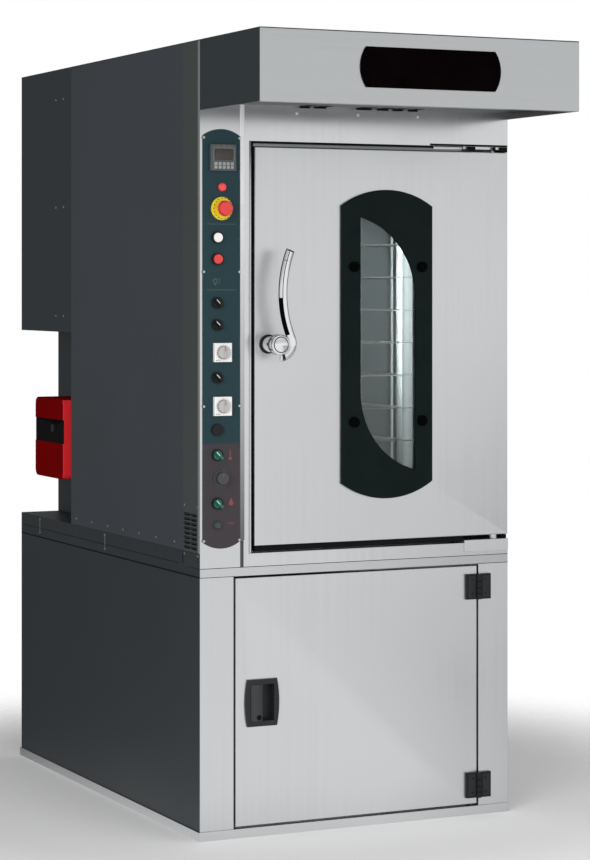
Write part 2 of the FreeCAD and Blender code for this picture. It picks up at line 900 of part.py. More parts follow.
paddle_plate = prism(
    "latch_paddle_plate", "XY_Plane",
    [(paddle_left, -d.paddle_edge), (paddle_left + d.paddle_width, -d.paddle_edge),
     (paddle_left + d.paddle_width, d.paddle_back), (paddle_left, d.paddle_back)],
    paddle_half * 2, (latch_x, front, latch_z - paddle_half),
    {0: (bow(d.paddle_width / 2, d.paddle_crown), 1)})
paddle_pin = rod("latch_paddle_pin", "z", paddle_axis, d.paddle_pin, (latch_z - pin_end, latch_z + pin_end))
node("latch_paddle", fuse("latch_paddle", paddle_plate, paddle_pin))

# Oven under-frame with its front band
node("under_frame", prism(
    "under_frame", "YZ_Plane",
    [(front, base_top), (rear, base_top), (rear, frame_top), (mouth, frame_top), (mouth, sill), (front, sill)],
    d.oven_width, (left, ZERO, ZERO)))

# Cladding of the oven
clad_tall = roof_under - frame_top
on_frame = (ZERO, ZERO, frame_top)
side_front = front + d.service_width


def side_sheet(name, outer, inward, start, rear_fold):
    """Return a side sheet with a fold at its front and rear edges."""
    face = outer + d.clad * inward
    fold = outer + d.clad_fold * inward
    return_end = outer + rear_fold * inward
    return prism(
        name, "XY_Plane",
        [(outer, start), (fold, start), (fold, start + d.clad), (face, start + d.clad),
         (face, seam - d.clad), (return_end, seam - d.clad), (return_end, seam), (outer, seam)],
        clad_tall, on_frame)


node("oven_side_left", side_sheet("oven_side_left", left, 1, side_front, d.niche_width))
node("oven_side_right", side_sheet("oven_side_right", right, -1, front + d.right_setback, d.clad_fold))
service_front = front + d.edge_return
service = body_at("service_panel", left, service_front, frame_top)
service_wide = d.service_width - d.edge_return
sketch = new_sketch(service, "service_outline", "YZ_Plane")
outline(sketch, rectangle((ZERO, service_wide), (ZERO, clad_tall)))
pad(service, sketch, d.clad)
sketch = new_sketch(service, "louvre_outline", "YZ_Plane", d.clad)
louvre_z = (d.louvre_rise, d.louvre_rise + d.louvre_tall)
for start in ((service_wide - d.louvre_column_gap) / 2 - d.louvre_long,
              (service_wide + d.louvre_column_gap) / 2):
    outline(sketch, rectangle((start, start + d.louvre_long), louvre_z))
louvre = pocket(service, sketch, d.clad)
louvre_rows = service.newObject("PartDesign::LinearPattern", "louvre_rows")
louvre_rows.Originals = [louvre]
louvre_rows.Direction = (axis_plane(service, "Z_Axis"), [""])
louvre_rows.Occurrences = LOUVRES
bind(louvre_rows, Length=d.louvre_pitch * (LOUVRES - 1))
service.Tip = louvre_rows
node("service_panel", service)
node("oven_roof", block("oven_roof", (left, right), (hood_front, seam), (roof_under, top)))

# Control column and front frame
knob_centre = (left + d.knob_from_left, panel_foot + d.knob_rise)
knob_hole = d.knob_stem + d.run_gap
column_tall = roof_under - sill
column = prism(
    "control_column", "XY_Plane",
    [(left, front), (post_left, front), (post_left, mouth), (post_left - d.skin, mouth),
     (post_left - d.skin, front + d.skin), (left + d.skin, front + d.skin),
     (left + d.skin, service_front), (left, service_front)],
    column_tall, (ZERO, ZERO, sill))
node("control_column", cut("control_column", column, rod(
    "column_knob_hole", "y", knob_centre, knob_hole, (front - d.panel_thick, front + d.panel_thick))))
front_frame = body_at("front_frame", ZERO, front, ZERO)
sketch = new_sketch(front_frame, "front_frame_outline", "XZ_Plane")
outline(sketch, [(post_left, sill), (right, sill), (right, rail_top), (post_right, rail_top),
                 (post_right, header), (right, header), (right, roof_under), (post_left, roof_under)])
frame_pad = pad(front_frame, sketch, mouth - front, backward=True)
doc.recompute()


def is_post_edge(point, edge):
    """Tell whether an edge is one of the two long front edges of the post."""
    upright = edge.BoundBox.ZLength > d.door_height.value and edge.BoundBox.XLength < TOUCH
    on_post = meets(point.x, post_left) or meets(point.x, post_right)
    return upright and on_post and meets(point.y, 0)


round_edges(front_frame, frame_pad, d.post_round, is_post_edge)
sketch = new_sketch(front_frame, "front_frame_hollow", "XZ_Plane", front - mouth)
t = d.frame_wall
outline(sketch, [(post_left + t, sill + t), (right - t, sill + t), (right - t, rail_top - t),
                 (post_right - t, rail_top - t), (post_right - t, header + t), (right - t, header + t),
                 (right - t, roof_under - t), (post_left + t, roof_under - t)])
pocket(front_frame, sketch, mouth - front - t * 2, backward=True)
node("front_frame", front_frame)

# Door pivots: an angle on the bottom rail and a plate under the header, each with its pin
pivot_x = right - d.pivot_inset
pivot_y = front + d.pivot_depth
pivot = (pivot_x, pivot_y)
plate_left = right - d.pivot_plate_long
plate_y = (front + d.pivot_setback, front + d.door_thick - d.pivot_setback)
low_plate_top = rail_top + d.pivot_plate
low_pivot = fuse(
    "pivot_low",
    block("pivot_low_plate", (plate_left, right), (front - d.pivot_apron, plate_y[1]), (rail_top, low_plate_top)),
    block("pivot_low_apron", (plate_left, right), (front - d.pivot_apron, front),
          (rail_top - d.pivot_apron_drop, rail_top)),
    rod("pivot_low_collar", "z", pivot, d.pivot_collar, (low_plate_top, door_foot - d.run_gap)),
    rod("pivot_low_pin", "z", pivot, d.pivot_pin, (low_plate_top, door_foot + d.pivot_reach)))
high_pivot = fuse(
    "pivot_high",
    block("pivot_high_plate", (plate_left, right), plate_y, (header - d.pivot_plate, header)),
    rod("pivot_high_pin", "z", pivot, d.pivot_pin, (door_head - d.pivot_reach, header)))
node("door_pivots", low_pivot, high_pivot)

# Oven door: folded skin, insulated core, seal
door_x = (door_left, right)
door_y = (front, front + d.door_thick)
door_z = (door_foot, door_head)
hub = (left + d.hub_from_left, door_foot + d.hub_rise)
window_x = door_left + d.window_from_left
window_half = d.window_width / 2
window_foot = door_foot + d.window_foot_margin
window_head = door_head - d.window_head_margin
window_z = (window_foot + window_head) / 2
light_x = (window_x - window_half + d.light_side_margin, window_x + window_half - d.light_side_margin)
light_z = (window_foot + d.light_end_margin, window_head - d.light_end_margin)
inside_x = (door_left + d.skin, right - d.skin)
inside_z = (door_foot + d.skin, door_head - d.skin)
through_y = (front - d.skin, front + d.door_thick + d.skin)
skin_hole = d.pivot_pin + d.shaft_hole_gap
door_shell = cut(
    "oven_door_shell",
    block("skin_slab", door_x, door_y, door_z),
    block("skin_hollow", inside_x, (front + d.skin, through_y[1]), inside_z),
    block("skin_light", light_x, through_y, light_z),
    rod("skin_foot_hole", "z", pivot, skin_hole, (door_foot - d.skin, inside_z[0])),
    rod("skin_head_hole", "z", pivot, skin_hole, (inside_z[1], door_head + d.skin)),
    rod("skin_spindle_hole", "y", hub, d.spindle_radius + d.shaft_hole_gap, (through_y[0], front + d.skin)))
node("oven_door_skin", softened("oven_door_skin", door_shell, d.door_round, on_rim(door_x, front, door_z)))
bore_radius = d.pivot_pin + d.pin_gap
bore_end = d.pivot_reach + d.run_gap
node("oven_door_core", cut(
    "oven_door_core",
    block("core_slab", inside_x, (front + d.skin, door_y[1]), inside_z),
    block("core_light", light_x, through_y, light_z),
    rod("core_foot_bore", "z", pivot, bore_radius, (door_foot, door_foot + bore_end)),
    rod("core_head_bore", "z", pivot, bore_radius, (door_head - bore_end, door_head)),
    rod("core_spindle_bore", "y", hub, d.spindle_radius + d.pin_gap,
        (front, front + d.spindle_long + d.run_gap))))
node("oven_door_gasket", frame_ring(
    "oven_door_gasket", (door_left + d.seal_inset, right - d.seal_right), (door_y[1], mouth - d.run_gap),
    (door_foot + d.seal_inset, door_head - d.seal_inset), d.seal_width))

# Window: bezel with the leaf-shaped light, two panes, four round buttons
window_tall = window_head - window_foot
spring = window_tall / 2 - d.window_bulge
bezel_bow = bow(window_half, d.window_bulge)
bezel = body_at("window_bezel", window_x, front, window_z)
sketch = new_sketch(bezel, "bezel_outline", "XZ_Plane")
outline(sketch, rectangle((-window_half, window_half), (-spring, spring)),
        {0: (bezel_bow, 1), 2: (bezel_bow, 1)})
leaf_half = window_half - d.leaf_side_margin
leaf_width = leaf_half * 2
leaf_left = d.leaf_offset - leaf_half
leaf_right = d.leaf_offset + leaf_half
leaf_tip = window_tall / 2 - d.leaf_end_margin
leaf_spring = leaf_tip - d.leaf_arc
leaf_bow = (leaf_width * leaf_width + d.leaf_arc * d.leaf_arc) / (leaf_width * 2)
leaf_corners = [(leaf_right, -leaf_tip), (leaf_right, leaf_spring), (leaf_left, leaf_tip), (leaf_left, -leaf_spring)]
outline(sketch, leaf_corners, {1: (leaf_bow, 1), 3: (leaf_bow, 1)})
bezel_pad = pad(bezel, sketch, d.window_proud)
bevel_edges(bezel, bezel_pad, d.window_bevel, lambda point, edge: meets(point.y, -d.window_proud))
node("window_bezel", bezel)
pane_x = (light_x[0] + d.run_gap, light_x[1] - d.run_gap)
pane_z = (light_z[0] + d.run_gap, light_z[1] - d.run_gap)
node(
    "window_panes",
    block("outer_pane", pane_x, (front, front + d.pane_thick), pane_z),
    block("inner_pane", pane_x, (door_y[1] - d.pane_thick, door_y[1]), pane_z))
buttons = []
bezel_face = front - d.window_proud
button_face = bezel_face - d.button_step
for index, (sx, sz) in enumerate(((-1, -1), (1, -1), (-1, 1), (1, 1))):
    centre = (window_x + d.button_reach_x * sx, window_z + d.button_reach_z * sz)
    buttons.append(fuse(
        f"glass_button{index}",
        rod(f"glass_button{index}_body", "y", centre, d.button_radius, (button_face, bezel_face)),
        taper(f"glass_button{index}_crown", "y", centre, (d.button_nose, d.button_radius),
              (button_face - d.button_crown, button_face))))
node("glass_buttons", *buttons)

# Lever handle: hub, spindle and an oval bar swept along a crook and a long counter-curve
handle = body_at("door_handle", hub[0], front, hub[1])
sketch = new_sketch(handle, "hub_outline", "XZ_Plane", d.run_gap)
circle(sketch, d.hub_radius)
pad(handle, sketch, d.hub_length - d.run_gap)
sketch = new_sketch(handle, "hub_cap_outline", "XZ_Plane", d.hub_length - d.hub_cap_long)
circle(sketch, d.hub_cap_radius)
cap_pad = pad(handle, sketch, d.hub_cap_long)
round_edges(handle, cap_pad, d.hub_round, round_at(-d.hub_length, d.hub_cap_radius))
sketch = new_sketch(handle, "spindle_outline", "XZ_Plane", d.run_gap)
circle(sketch, d.spindle_radius)
pad(handle, sketch, d.spindle_long + d.run_gap, backward=True)
path = new_sketch(handle, "lever_path", "XZ_Plane", d.lever_offset)
cx = d.crook_shift.value
crook = d.crook_radius.value
sweep = d.sweep_radius.value
joint = math.asin((d.crook_rise.value - cx) / crook)
far_x = cx + (crook + sweep) * math.cos(joint)
far_z = cx + (crook + sweep) * math.sin(joint)
crown = math.asin((d.lever_top.value - far_z) / sweep)
normal = FreeCAD.Vector(0, 0, 1)
path.addGeometry(Part.ArcOfCircle(
    Part.Circle(FreeCAD.Vector(cx, cx, 0), normal, crook), -math.pi / 2, joint), False)
path.addGeometry(Part.ArcOfCircle(
    Part.Circle(FreeCAD.Vector(far_x, far_z, 0), normal, sweep), math.pi - crown, math.pi + joint), False)
path.addConstraint(Sketcher.Constraint("Tangent", 0, 2, 1, 2))
limit(path, "DistanceX", 0, 3, d.crook_shift)
limit(path, "DistanceY", 0, 3, d.crook_shift)
hold_radius(path, 0, d.crook_radius)
path.addConstraint(Sketcher.Constraint("Vertical", 0, 3, 0, 1))
limit(path, "DistanceY", 0, 2, d.crook_rise)
hold_radius(path, 1, d.sweep_radius)
limit(path, "DistanceY", 1, 1, d.lever_top)
section = new_sketch(handle, "lever_section", "YZ_Plane", d.crook_shift)
low_z = d.crook_shift - d.crook_radius
centre = FreeCAD.Vector(-d.lever_offset.value, low_z.value, 0)
section.addGeometry(Part.Ellipse(
    centre + FreeCAD.Vector(0, d.lever_half_wide.value, 0),
    centre + FreeCAD.Vector(d.lever_half_deep.value, 0, 0), centre), False)
section.exposeInternalGeometry(0)
limit(section, "DistanceX", 0, 3, -d.lever_offset)
limit(section, "DistanceY", 0, 3, low_z)
section.addConstraint(Sketcher.Constraint("Vertical", 1))
for geometry, amount in ((1, d.lever_half_wide * 2), (2, d.lever_half_deep * 2)):
    index = section.addConstraint(Sketcher.Constraint("Distance", geometry, amount.value))
    section.setExpression(f"Constraints[{index}]", amount.text)
doc.recompute()
lever = handle.newObject("PartDesign::AdditivePipe", "lever_pipe")
lever.Profile = section
lever.Spine = (path, ["Edge1", "Edge2"])
handle.Tip = lever
node("door_handle", handle)

# Hood: fascia, cheeks, slotted baffle, bare sign plate
cheek_x = ((left, left + d.clad), (right - d.clad, right))
fold_y = (hood_front, hood_front + d.fascia_fold)
fold_x = (left + d.clad, right - d.clad)
node("hood_fascia", fuse(
    "hood_fascia",
    block("fascia_face", (left, right), (hood_front, hood_front + d.skin), (hood_foot, roof_under)),
    block("fascia_foot", fold_x, fold_y, (hood_foot, hood_foot + d.skin)),
    block("fascia_head", fold_x, fold_y, (roof_under - d.skin, roof_under))))
node("hood_cheeks", *[
    block(f"hood_cheek_{side}", span, (hood_front + d.skin, front), (hood_foot, roof_under))
    for side, span in zip(("left", "right"), cheek_x)])
baffle_deep = d.hood_reach - d.skin
baffle = body_at("hood_baffle", ZERO, front, hood_foot + d.baffle_rise)
sketch = new_sketch(baffle, "baffle_outline", "XY_Plane")
outline(sketch, rectangle(fold_x, (-baffle_deep, ZERO)))
pad(baffle, sketch, d.skin)
sketch = new_sketch(baffle, "baffle_slot_outline", "XY_Plane", d.skin)
slot_left = -(d.baffle_slot_pitch * (BAFFLE_SLOTS - 1) + d.baffle_slot_long) / 2
slot_front = d.baffle_slot_inset - baffle_deep
outline(sketch, rectangle((slot_left, slot_left + d.baffle_slot_long),
                          (slot_front, slot_front + d.baffle_slot_wide)))
baffle_slot = pocket(baffle, sketch, d.skin)
baffle_row = baffle.newObject("PartDesign::LinearPattern", "baffle_row")
baffle_row.Originals = [baffle_slot]
baffle_row.Direction = (axis_plane(baffle, "X_Axis"), [""])
baffle_row.Occurrences = BAFFLE_SLOTS
bind(baffle_row, Length=d.baffle_slot_pitch * (BAFFLE_SLOTS - 1))
baffle.Tip = baffle_row
node("hood_baffle", baffle)
sign_half_x = d.sign_width / 2
sign_half_z = d.sign_height / 2
sign_bow = bow(sign_half_z, d.sign_bulge)
node("sign_plate", prism(
    "sign_plate", "XZ_Plane", rectangle((-sign_half_x, sign_half_x), (-sign_half_z, sign_half_z)), d.sign_thick,
    (left + d.sign_from_left, hood_front, hood_foot + d.sign_rise), {1: (sign_bow, 1), 3: (sign_bow, 1)}))

# Chamber liner with its front flange, and the insulation sleeve
chamber_x = (left + d.chamber_from_left, right - d.chamber_from_right)
chamber_z = (frame_top + d.chamber_lift, frame_top + d.chamber_lift + d.chamber_height)
liner_rear = seam - d.plenum_gap
chamber_rear = liner_rear - d.skin
diffuser_y = chamber_rear - d.fan_space
liner_x = (chamber_x[0] - d.skin, chamber_x[1] + d.skin)
liner_z = (chamber_z[0] - d.skin, chamber_z[1] + d.skin)
rack_x = (chamber_x[0] + chamber_x[1]) / 2
rack_y = (mouth + diffuser_y) / 2
rack = (rack_x, rack_y)
fan = (rack_x, chamber_z[0] + d.fan_rise)
shaft_hole = d.drive_shaft + d.shaft_hole_gap
liner = fuse(
    "chamber_liner",
    block("liner_box", liner_x, (mouth, liner_rear), liner_z),
    block("liner_flange", (chamber_x[0] - d.flange_left, chamber_x[1] + d.flange_right), (mouth, mouth + d.skin),
          (frame_top, header)))
node("chamber_liner", cut(
    "chamber_liner", liner,
    block("liner_hollow", chamber_x, (mouth - d.skin, chamber_rear), chamber_z),
    rod("liner_shaft_hole", "z", rack, shaft_hole, (chamber_z[1] - d.skin, liner_z[1] + d.skin)),
    rod("liner_fan_hole", "y", fan, d.fan_shaft + d.shaft_hole_gap, (chamber_rear - d.skin, liner_rear + d.skin))))
pedestal_half = d.gear_pedestal / 2
pedestal_x = (rack_x - pedestal_half, rack_x + pedestal_half)
pedestal_y = (rack_y - pedestal_half, rack_y + pedestal_half)
wool_top = liner_z[1] + d.wool_top
node("chamber_insulation", cut(
    "chamber_insulation",
    block("wool_block", (post_left, right - d.clad_fold - d.wool_right), (mouth + d.skin, liner_rear),
          (frame_top, wool_top)),
    block("wool_hollow", liner_x, (mouth, liner_rear + d.skin), liner_z),
    block("wool_gap", (pedestal_x[0] - d.run_gap, pedestal_x[1] + d.run_gap),
          (pedestal_y[0] - d.run_gap, pedestal_y[1] + d.run_gap), (liner_z[1] - d.skin, wool_top + d.skin))))

# Air diffuser: a slotted screen with the round fan eye
diffuser = body_at("air_diffuser", rack_x, diffuser_y, chamber_z[0])
sketch = new_sketch(diffuser, "diffuser_outline", "XZ_Plane")
half_wide = (chamber_x[1] - chamber_x[0]) / 2 - d.run_gap
outline(sketch, rectangle((-half_wide, half_wide), (d.run_gap, d.chamber_height - d.run_gap)))
pad(diffuser, sketch, d.diffuser_thick)
sketch = new_sketch(diffuser, "diffuser_slots", "XZ_Plane", d.diffuser_thick)
slot_z = (d.diffuser_slot_foot, d.diffuser_slot_foot + d.diffuser_slot_tall)
for sign in (-1, 1):
    for step in (0, 2):
        near = (half_wide - d.diffuser_slot_inset - d.diffuser_slot_wide * step) * sign
        far = near - d.diffuser_slot_wide * sign
        outline(sketch, rectangle(sorted((near, far), key=lambda s: s.value), slot_z))
slots = pocket(diffuser, sketch, d.diffuser_thick)
slot_rows = diffuser.newObject("PartDesign::LinearPattern", "diffuser_rows")
slot_rows.Originals = [slots]
slot_rows.Direction = (axis_plane(diffuser, "Z_Axis"), [""])
slot_rows.Occurrences = DIFFUSER_ROWS
bind(slot_rows, Length=d.diffuser_slot_pitch * (DIFFUSER_ROWS - 1))
diffuser.Tip = slot_rows
node("air_diffuser", cut("air_diffuser", diffuser, rod(
    "fan_eye_hole", "y", fan, d.fan_eye, (diffuser_y - d.diffuser_thick * 2, diffuser_y + d.diffuser_thick))))

# Chamber lamp on the right wall near the mouth
lamp_y = mouth + d.lamp_inset
lamp_z = (chamber_z[0] + chamber_z[1]) / 2
lamp_half = d.lamp_long / 2
lamp_wall = chamber_x[1]
lamp_plate_half = d.lamp_radius + d.lamp_flange
lamp_tube = rod("lamp_tube", "z", (lamp_wall, lamp_y), d.lamp_radius, (lamp_z - lamp_half, lamp_z + lamp_half))
lamp_wall_side = block(
    "lamp_wall_side", (lamp_wall, lamp_wall + d.lamp_radius * 2), (lamp_y - d.lamp_radius, lamp_y + d.lamp_radius),
    (lamp_z - lamp_half, lamp_z + lamp_half))
lamp_plate = block(
    "lamp_plate", (lamp_wall - d.lamp_base, lamp_wall), (lamp_y - lamp_plate_half, lamp_y + lamp_plate_half),
    (lamp_z - lamp_half - d.lamp_flange, lamp_z + lamp_half + d.lamp_flange))
node("chamber_lamp", fuse("chamber_lamp", cut("lamp_glass", lamp_tube, lamp_wall_side), lamp_plate))

# Fan wheel with swept blades, and its motor behind the liner
fan_back = chamber_rear - d.fan_wall_gap
wheel = body_at("fan_wheel", fan[0], fan_back, fan[1])
sketch = new_sketch(wheel, "fan_plate_outline", "XZ_Plane")
circle(sketch, d.fan_radius)
pad(wheel, sketch, d.fan_plate)
sketch = new_sketch(wheel, "fan_hub_outline", "XZ_Plane")
circle(sketch, d.fan_hub)
pad(wheel, sketch, d.fan_hub_long)
sketch = new_sketch(wheel, "fan_shaft_outline", "XZ_Plane")
circle(sketch, d.fan_shaft)
pad(wheel, sketch, d.fan_shaft_long, backward=True)
sketch = new_sketch(wheel, "fan_blade_outline", "XZ_Plane")
blade_tip = d.fan_radius - d.blade_thick * 2
blade_bow = (d.fan_radius - d.blade_inner) * BLADE_CAMBER
outline(sketch, [(d.blade_inner, ZERO), (blade_tip, d.blade_sweep),
                 (blade_tip - d.blade_thick, d.blade_sweep + d.blade_thick),
                 (d.blade_inner - d.blade_thick, d.blade_thick)],
        {0: (blade_bow, 1), 2: (blade_bow, -1)})
blade = pad(wheel, sketch, d.fan_width)
blades = wheel.newObject("PartDesign::PolarPattern", "fan_blades")
blades.Originals = [blade]
blades.Axis = (axis_plane(wheel, "Y_Axis"), [""])
blades.Angle = 360
blades.Occurrences = BLADES
wheel.Tip = blades
sketch = new_sketch(wheel, "fan_ring_outline", "XZ_Plane", d.fan_width - d.fan_plate)
circle(sketch, d.fan_radius)
circle(sketch, d.fan_ring)
pad(wheel, sketch, d.fan_plate)
node("fan_wheel", wheel)
motor_end = liner_rear + d.motor_long
fan_motor = cut(
    "fan_motor",
    rod("motor_case", "y", fan, d.motor_radius, (liner_rear, motor_end)),
    rod("motor_bore", "y", fan, d.fan_shaft + d.pin_gap,
        (liner_rear - d.skin, fan_back + d.fan_shaft_long + d.run_gap)))

# Rotating rack, hung from its drive shaft, and the trays on its ledges
rack_foot = chamber_z[0] + d.rack_foot_gap
ledge_x = d.tray_wide / 2 + d.tray_side_gap
post_x = (ledge_x, ledge_x + d.rack_bar)
half_bar = d.rack_bar / 2
ledge_half = d.rack_post_reach + half_bar + d.rack_ledge_over
first_ledge = rack_foot + d.rack_bar + d.rack_first
rack_head = first_ledge + d.tray_pitch * (TRAYS - 1) + d.rack_head
rack_parts = []


def mirrored(span, sign, middle):
    """Return a span on one side of a middle, low end first."""
    return sorted((middle + span[0] * sign, middle + span[1] * sign), key=lambda s: s.value)


for sign in (-1, 1):
    name = "left" if sign < 0 else "right"
    bar_x = mirrored(post_x, sign, rack_x)
    for fore in (-1, 1):
        middle = rack_y + d.rack_post_reach * fore
        rack_parts.append(block(
            f"rack_{name}_post{fore + 1}", bar_x, (middle - half_bar, middle + half_bar), (rack_foot, rack_head)))
    shelf_x = mirrored((ledge_x - d.rack_ledge_wide, ledge_x), sign, rack_x)
    for index in range(TRAYS):
        foot = first_ledge + d.tray_pitch * index
        rack_parts.append(block(
            f"rack_{name}_ledge{index}", shelf_x, (rack_y - ledge_half, rack_y + ledge_half),
            (foot, foot + d.rack_ledge_thick)))
for level, foot in (("foot", rack_foot), ("head", rack_head - d.rack_bar)):
    span_z = (foot, foot + d.rack_bar)
    for fore in (-1, 1):
        middle = rack_y + d.rack_post_reach * fore
        rack_parts.append(block(
            f"rack_{level}_rail{fore + 1}", (rack_x - ledge_x, rack_x + ledge_x),
            (middle - half_bar, middle + half_bar), span_z))
    rack_parts.append(block(
        f"rack_{level}_spine", (rack_x - half_bar, rack_x + half_bar),
        (rack_y - d.rack_post_reach + half_bar, rack_y + d.rack_post_reach - half_bar), span_z))
collar_top = rack_head + d.drive_collar_long
shaft_top = liner_z[1] + d.drive_entry
rack_parts.append(rod("rack_collar", "z", rack, d.drive_collar, (rack_head, collar_top)))
rack_parts.append(rod("rack_shaft", "z", rack, d.drive_shaft, (collar_top, shaft_top)))
node("rack_frame", *rack_parts)
trays = []
for index in range(TRAYS):
    foot = first_ledge + d.rack_ledge_thick + d.tray_pitch * index
    trays.append(block(
        f"tray{index}", (rack_x - d.tray_wide / 2, rack_x + d.tray_wide / 2),
        (rack_y - d.tray_long / 2, rack_y + d.tray_long / 2), (foot, foot + d.tray_thick)))
node("baking_trays", *trays)
gear_foot = wool_top
gear_head = gear_foot + d.gear_tall
gear_motor_z = gear_foot + d.gear_tall / 2
gearmotor = cut(
    "rack_gearmotor",
    fuse(
        "gearmotor",
        block("gear_pedestal_block", pedestal_x, pedestal_y, (liner_z[1], gear_foot)),
        block("gear_case", (rack_x - d.gear_wide / 2, rack_x + d.gear_wide / 2),
              (rack_y - d.gear_deep / 2, rack_y + d.gear_deep / 2), (gear_foot, gear_head)),
        rod("gear_motor_case", "x", (rack_y, gear_motor_z), d.gear_motor,
            (rack_x + d.gear_wide / 2, rack_x + d.gear_wide / 2 + d.gear_motor_long))),
    rod("gear_bore", "z", rack, d.drive_shaft + d.pin_gap, (liner_z[1] - d.skin, shaft_top + d.run_gap)))
node("drive_motors", fan_motor, gearmotor)

# Rear: exchanger housing, rear cover, heat exchanger with the flue spigot
niche = left + d.niche_width
burner_y = seam + d.burner_from_seam
burner_z = frame_top + d.burner_rise
burner = (burner_y, burner_z)
flue_x = right - d.flue_from_right
flue = (flue_x, burner_y)
flue_hole = d.flue_radius + d.flue_hole_gap
node("rear_housing", cut(
    "rear_housing",
    block("housing_box", (niche, right), (seam, rear), (frame_top, box_foot)),
    block("housing_hollow", (niche + d.clad, right - d.clad), (seam - d.clad, rear - d.clad),
          (frame_top - d.clad, box_foot - d.clad)),
    rod("housing_blast_hole", "x", burner, d.blast_radius + d.blast_hole_gap, (niche - d.clad, niche + d.clad * 2)),
    rod("housing_flue_hole", "z", flue, flue_hole, (box_foot - d.clad * 2, box_foot + d.clad))))
node("rear_cover", cut(
    "rear_cover",
    block("cover_box", (left, right), (seam, rear), (box_foot, top)),
    block("cover_hollow", (left + d.clad, right - d.clad), (seam - d.clad, rear - d.clad),
          (box_foot + d.clad, top - d.clad)),
    rod("cover_flue_hole", "z", flue, flue_hole, (box_foot - d.clad, top + d.clad))))
drum_left = niche + d.clad
drum_right = right - d.clad - d.drum_end_gap
collector_top = box_foot - d.clad - d.collector_drop
collector_foot = collector_top - d.collector_height
first_riser = drum_left + d.riser_inset
riser_pitch = (drum_right - d.riser_inset - first_riser) / (RISERS - 1)
risers = []
for index in range(RISERS):
    centre = (first_riser + riser_pitch * index, burner_y)
    risers.append(rod(f"riser{index}", "z", centre, d.riser_radius,
                      (burner_z + d.drum_radius - d.riser_radius, collector_foot + d.drum_wall)))
drum = cut(
    "exchanger_drum",
    rod("drum_case", "x", burner, d.drum_radius, (drum_left, drum_right)),
    rod("drum_hollow", "x", burner, d.drum_radius - d.drum_wall,
        (drum_left + d.drum_wall, drum_right - d.drum_wall)),
    rod("drum_mouth", "x", burner, d.blast_radius + d.blast_hole_gap,
        (drum_left - d.drum_wall, drum_left + d.drum_wall * 2)))
collector = block(
    "exchanger_collector", (drum_left, drum_right),
    (burner_y - d.collector_deep / 2, burner_y + d.collector_deep / 2), (collector_foot, collector_top))
flue_top = top + d.flue_proud
pipe_radius = d.flue_radius - d.flue_step
pipe = rod("flue_pipe", "z", flue, pipe_radius, (collector_top - d.drum_wall, flue_top))
spigot = rod("flue_spigot", "z", flue, d.flue_radius, (top, flue_top))
exchanger = fuse("heat_exchanger", drum, collector, pipe, spigot, *risers)
node("heat_exchanger", cut("heat_exchanger", exchanger, rod(
    "flue_bore", "z", flue, pipe_radius - d.flue_wall, (collector_foot + d.drum_wall, flue_top + d.flue_wall))))

# Burner: rounded cover with a sunk band and its blast tube, and the reset button
burner_face = niche - d.burner_thick
half_y = d.burner_wide / 2
half_z = d.burner_tall / 2
turn_y = half_y - d.burner_round
turn_z = half_z - d.burner_round
corner = (d.burner_round, 1)
cover = prism(
    "burner_cover", "YZ_Plane",
    [(-turn_y, -half_z), (turn_y, -half_z), (half_y, -turn_z), (half_y, turn_z),
     (turn_y, half_z), (-turn_y, half_z), (-half_y, turn_z), (-half_y, -turn_z)],
    d.burner_thick, (burner_face, burner_y, burner_z), {1: corner, 3: corner, 5: corner, 7: corner})
round_edges(cover, cover.Tip, d.burner_edge, lambda point, edge: meets(point.x, 0))
band_z = burner_z + d.burner_band_rise - d.burner_band_tall / 2
band_face = burner_face + d.burner_band_deep
reset = (burner_y - d.reset_shift, burner_z + d.reset_lift)
well_end = band_face + d.reset_well
blast_tube = rod("blast_tube", "x", burner, d.blast_radius, (niche - d.clad, niche + d.blast_long))
node("burner_unit", cut(
    "burner_unit", fuse("burner_unit", cover, blast_tube),
    block("burner_band", (burner_face - d.burner_band_deep, band_face), (burner_y - half_y * 2, burner_y + half_y * 2),
          (band_z, band_z + d.burner_band_tall)),
    rod("reset_well", "x", reset, d.reset_radius + d.run_gap, (burner_face, well_end))))
node("burner_reset_button", rod(
    "burner_reset_button", "x", reset, d.reset_radius, (band_face - d.reset_proud, band_face + d.reset_deep)))

# Control panel plate with bowed ends
panel_half = d.panel_width / 2
panel_bow = bow(panel_half, d.panel_bulge)
panel = prism(
    "control_panel_plate", "XZ_Plane", rectangle((-panel_half, panel_half), (ZERO, d.panel_tall)), d.panel_thick,
    (left + d.panel_from_left, front, panel_foot), {0: (panel_bow, 1), 2: (panel_bow, 1)})
panel_face = front - d.panel_thick
node("control_panel_plate", cut("control_panel_plate", panel, rod(
    "panel_knob_hole", "y", knob_centre, knob_hole, (panel_face - d.panel_thick, front + d.panel_thick))))

